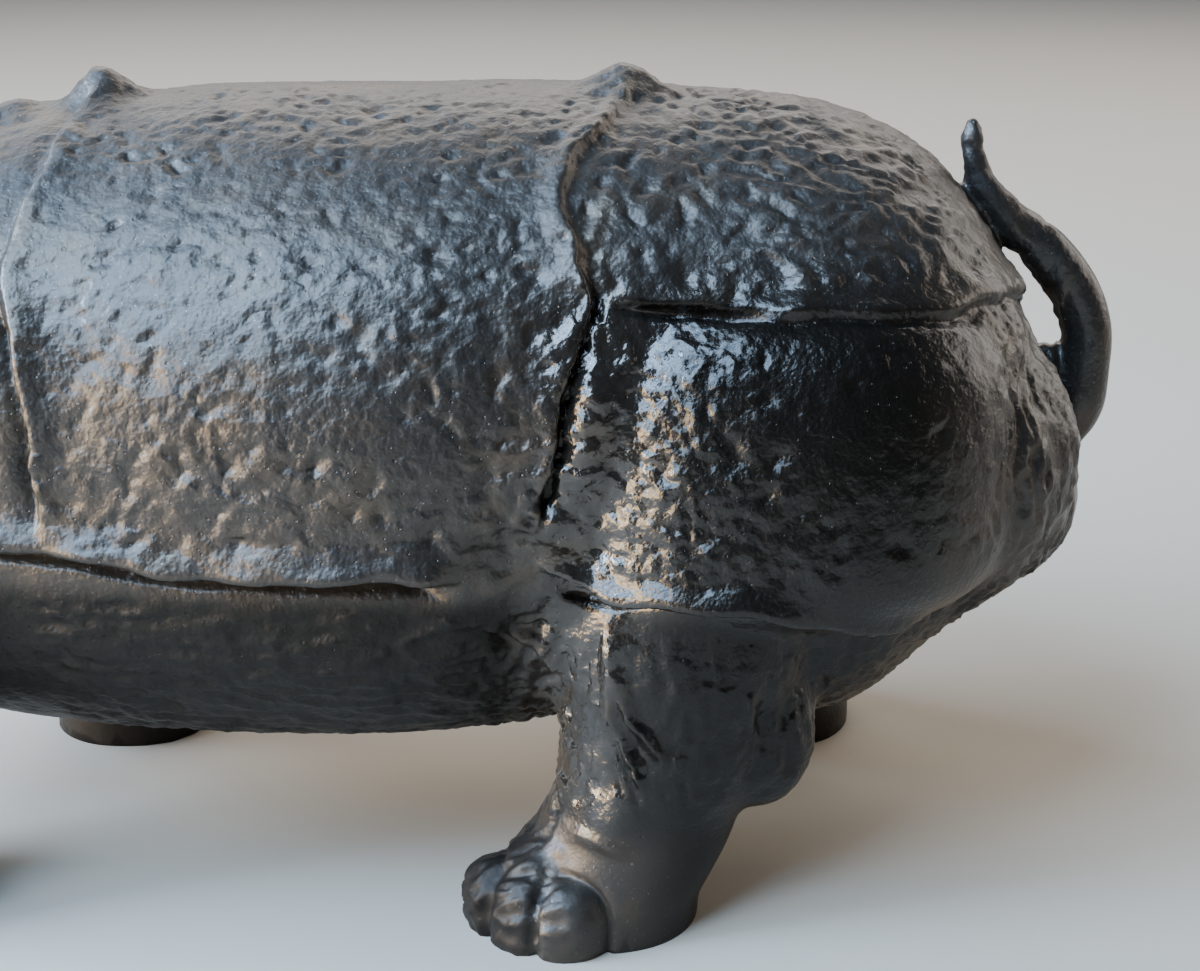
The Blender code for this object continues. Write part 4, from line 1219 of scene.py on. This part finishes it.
# %% How much of each kind there is
def glaze_shares(tree, place, along):
    """How much of each kind of glaze and of painted shade there is, as wires between 0 and 1."""
    x, _, z = along(place)
    hollow = tree.node("ShaderNodeAttribute", {"attribute_name": "hollow"}, out="Fac")
    before_tail = tree.rise(x, *TAIL_ROOT)
    hind = tree.rise(x, *THIGH_FRONT) * before_tail * tree.rise(z, *THIGH_TOP) * tree.rise(z, *ANKLE)
    foot = 1.0 - tree.rise(z, *ANKLE)
    return {
        # The cracks get painted shade and lose their coat.
        "crack": tree.rise(hollow, *CRACKED),
        "worn": tree.rise(hollow, *WORN),
        "foot": foot,
        "satin": tree.rise(z, *BACK) + foot,
        "glossy": hind,
        "belly": tree.rise(x, *BELLY_END) * tree.rise(z, *BELLY_TOP),
        "shaded": tree.rise(x, *THIGH_TURN) * before_tail * tree.rise(z, *THIGH_TOP),
        "shank": tree.rise(z, *KNEE) * tree.rise(z, *ANKLE) * tree.rise(x, *SHIN_EDGE),
    }

# %% Colour and the finest relief
# How much near-black painted shade each place takes.
PAINTED_SHADE_SHARES = {"belly": 0.9, "shaded": 0.85, "shank": 0.85, "crack": 0.9}


def glaze_colour(tree, cloud, share):
    """Black, browner where thin or worn, with pale specks, and near-black painted shade where shade falls."""
    thin = tree.rise(cloud(26, 4, 0.6), *THIN)
    specks = tree.rise(cloud(1.1, 1), *SPECKLED)
    colour = tree.blend(thin * 0.6, BLACK, BROWN)
    colour = tree.blend(specks * 0.4, colour, GREY)
    colour = tree.blend(share["worn"] * 0.5, colour, BROWN)
    # Painted shade: near-black over the belly, the thigh's shaded side, the shank and the cracks.
    for name, shade_share in PAINTED_SHADE_SHARES.items():
        colour = tree.blend(share[name] * shade_share, colour, PAINTED_SHADE)
    return colour


def glaze_relief(cloud, dots, share):
    """The finest relief, in units: orange peel, flow marks, pits, grit and pinholes; calmer on the feet."""
    orange_peel = cloud(2.8, 1.5, 0.5)
    marks = cloud(4.4, 2, 0.5, stretch=(0.7, 1.0, 0.6))
    pits = cloud(1.7, 1.5, 0.5)
    grit = cloud(0.9, 2, 0.6)
    pinholes = dots(5.2, 0.09)
    height = (orange_peel * 0.6 + marks * 0.4 + grit * 0.04 - pinholes * 0.35) * (1.0 - share["foot"] * 0.75)
    return height + pits * (0.15 + share["glossy"] * 0.25)


# These are the places darkened with painted shade.
print("soot lies on", list(PAINTED_SHADE_SHARES))

# %% The dark glaze
# The roughness of bare glaze, what clouds, grain, the belly and the satin places add, and what polish takes.
ROUGH, ROUGH_CLOUDS, ROUGH_GRAIN, ROUGH_BELLY, ROUGH_SATIN, POLISH = 0.30, 0.12, 0.06, 0.1, 0.08, 0.2
# The coat's weight, what it gains where the glaze ran thick, and the shares that it loses elsewhere.
COAT, COAT_GLOSSY = 0.12, 0.5
COAT_LOST = {"belly": 0.6, "satin": 0.8, "shank": 0.3}
# The shares of gloss that the shaded side of the thigh and the shank lose.
SHADED_LOSS, SHANK_LOSS = 0.5, 0.8
GLAZE_METALLIC = 0.8
BUMP_STRENGTH = 0.8
GLASS_IOR = 1.5
COAT_ROUGHNESS = 0.05


def dark_glaze():
    """The figure's one material."""
    tree = Tree("dark_glaze")
    place, cloud, dots, along = glaze_fields(tree)
    share = glaze_shares(tree, place, along)
    shade = 1.0 - share["shaded"] * SHADED_LOSS
    polished = share["glossy"] * shade * (1.0 - share["shank"] * SHANK_LOSS)
    rough = ROUGH + cloud(60, 3) * ROUGH_CLOUDS + cloud(0.9, 2, 0.6) * ROUGH_GRAIN - polished * POLISH
    rough = rough + share["belly"] * ROUGH_BELLY + share["satin"] * ROUGH_SATIN
    coat = (COAT + share["glossy"] * COAT_GLOSSY) * shade * (1.0 - share["crack"])
    for name, lost in COAT_LOST.items():
        coat = coat * (1.0 - share[name] * lost)
    height = glaze_relief(cloud, dots, share)
    sockets = {"Strength": BUMP_STRENGTH, "Distance": 1.0 * UNIT, "Height": height}
    bump = tree.node("ShaderNodeBump", None, sockets)
    shader = tree.node("ShaderNodeBsdfPrincipled", None, {
        "Base Color": glaze_colour(tree, cloud, share), "Roughness": rough, "Metallic": GLAZE_METALLIC,
        "IOR": GLASS_IOR, "Coat Weight": coat, "Coat Roughness": COAT_ROUGHNESS, "Coat IOR": GLASS_IOR,
        "Normal": bump})
    tree.node("ShaderNodeOutputMaterial", None, {"Surface": shader})
    return tree.material


figure.data.materials.clear()
figure.data.materials.append(dark_glaze())
print("glazed", figure.name)

# %% [markdown]
# # The studio
#
# A plain pale floor and soft light, as for a catalogue picture. A dark glaze is lit by what it mirrors,
# so every lamp is a large softbox, and it is placed by the direction in which the figure sees it. Warm
# ones stand low on the left and cool ones above them, as sun on the ground and sky in a window would, so
# that every bulge turns from warm to bluish as it rises. Two pale walls, behind and on the right, give
# the back and the rump their quiet grey.

# %% Floor
FLOOR_SIZE = 12.0
FLOOR_COLOUR = (0.40, 0.345, 0.275, 1)
FLOOR_ROUGHNESS = 0.8
half = FLOOR_SIZE / 2
corners = [(-half, -half, 0), (half, -half, 0), (half, half, 0), (-half, half, 0)]
floor = mesh_object("floor", corners, [(0, 1, 2, 3)])
paint = Tree("floor_paint")
sockets = {"Base Color": FLOOR_COLOUR, "Roughness": FLOOR_ROUGHNESS}
even = paint.node("ShaderNodeBsdfPrincipled", None, sockets)
paint.node("ShaderNodeOutputMaterial", None, {"Surface": even})
floor.data.materials.append(paint.material)
print("the floor is", FLOOR_SIZE, "m across")

# %% Lights
# The point that every lamp looks at.
LIT = (0.06, -0.08, 0.18)
# Each has its azimuth, height angle and distance, its width and height in metres, its power in watts and its
# colour.
SOFTBOXES = {
    "low_window": ((48, 4, 2.0), (0.5, 0.8), 26.0, (1.0, 0.78, 0.48)),
    "low_side": ((84, 2, 2.0), (1.5, 0.6), 92.0, (1.0, 0.82, 0.55)),
    "high_side": ((82, 24, 2.0), (1.1, 0.8), 170.0, (0.40, 0.63, 1.0)),
    "far_side": ((114, 18, 2.0), (0.9, 0.9), 50.0, (0.60, 0.78, 1.0)),
    "high_window": ((38, 28, 2.0), (0.8, 0.9), 31.0, (0.42, 0.66, 1.0)),
    "sky": ((115, 52, 2.0), (1.0, 1.0), 26.0, (0.40, 0.62, 1.0)),
    "upper_sky": ((44, 56, 2.0), (1.3, 1.1), 98.0, (0.42, 0.66, 1.0)),
    "pale_wall": ((185, 34, 2.6), (3.6, 1.6), 70.0, (1.0, 0.96, 0.91)),
    "right_wall": ((-112, 16, 2.4), (2.0, 1.4), 26.0, (1.0, 0.97, 0.94)),
}


def placed(azimuth, height, distance):
    """A place seen from the figure: degrees to the left of the camera's side, degrees up, and metres away."""
    a, e = math.radians(azimuth), math.radians(height)
    return (LIT[0] - distance * math.sin(a) * math.cos(e), LIT[1] - distance * math.cos(a) * math.cos(e),
            LIT[2] + distance * math.sin(e))


def softbox(name, direction, size, power, colour):
    """A soft lamp that looks at the figure and isn't seen itself."""
    light = bpy.data.lights.new(name, "AREA")
    light.shape = "RECTANGLE"
    light.size, light.size_y = size
    light.energy = power
    light.color = colour
    lamp = new_object(name, light)
    lamp.location = placed(*direction)
    lamp.rotation_euler = (Vector(LIT) - lamp.location).to_track_quat("-Z", "Y").to_euler()
    lamp.visible_camera = False


for name, kind in SOFTBOXES.items():
    softbox(name, *kind)
print(len(SOFTBOXES), "softboxes")

# %% The pale room
ROOM_COLOUR = (0.92, 0.87, 0.80, 1)
ROOM_STRENGTH = 0.07
world = bpy.data.worlds.new("pale_room")
bpy.context.scene.world = world
world.use_nodes = True
backdrop = world.node_tree.nodes["Background"]
backdrop.inputs["Color"].default_value = ROOM_COLOUR
backdrop.inputs["Strength"].default_value = ROOM_STRENGTH
print("the room gives", ROOM_STRENGTH)

# %% [markdown]
# The photograph was taken from close by, looking down a little, with the hind quarters in the middle of
# the frame. Its camera was found from the soles, the level back and the distance between the feet.

# %% Camera
CAMERA_PLACE = (0.1484, -0.9, 0.485)
CAMERA_PITCH = 20.2
SENSOR_WIDTH = 36.0
LENS = 65.46
camera = bpy.data.cameras.new("camera")
camera.sensor_width = SENSOR_WIDTH
camera.lens = LENS
viewer = new_object("camera", camera)
viewer.location = CAMERA_PLACE
viewer.rotation_euler = (math.radians(90 - CAMERA_PITCH), 0, 0)
bpy.context.scene.camera = viewer
print("the camera stands at", CAMERA_PLACE)
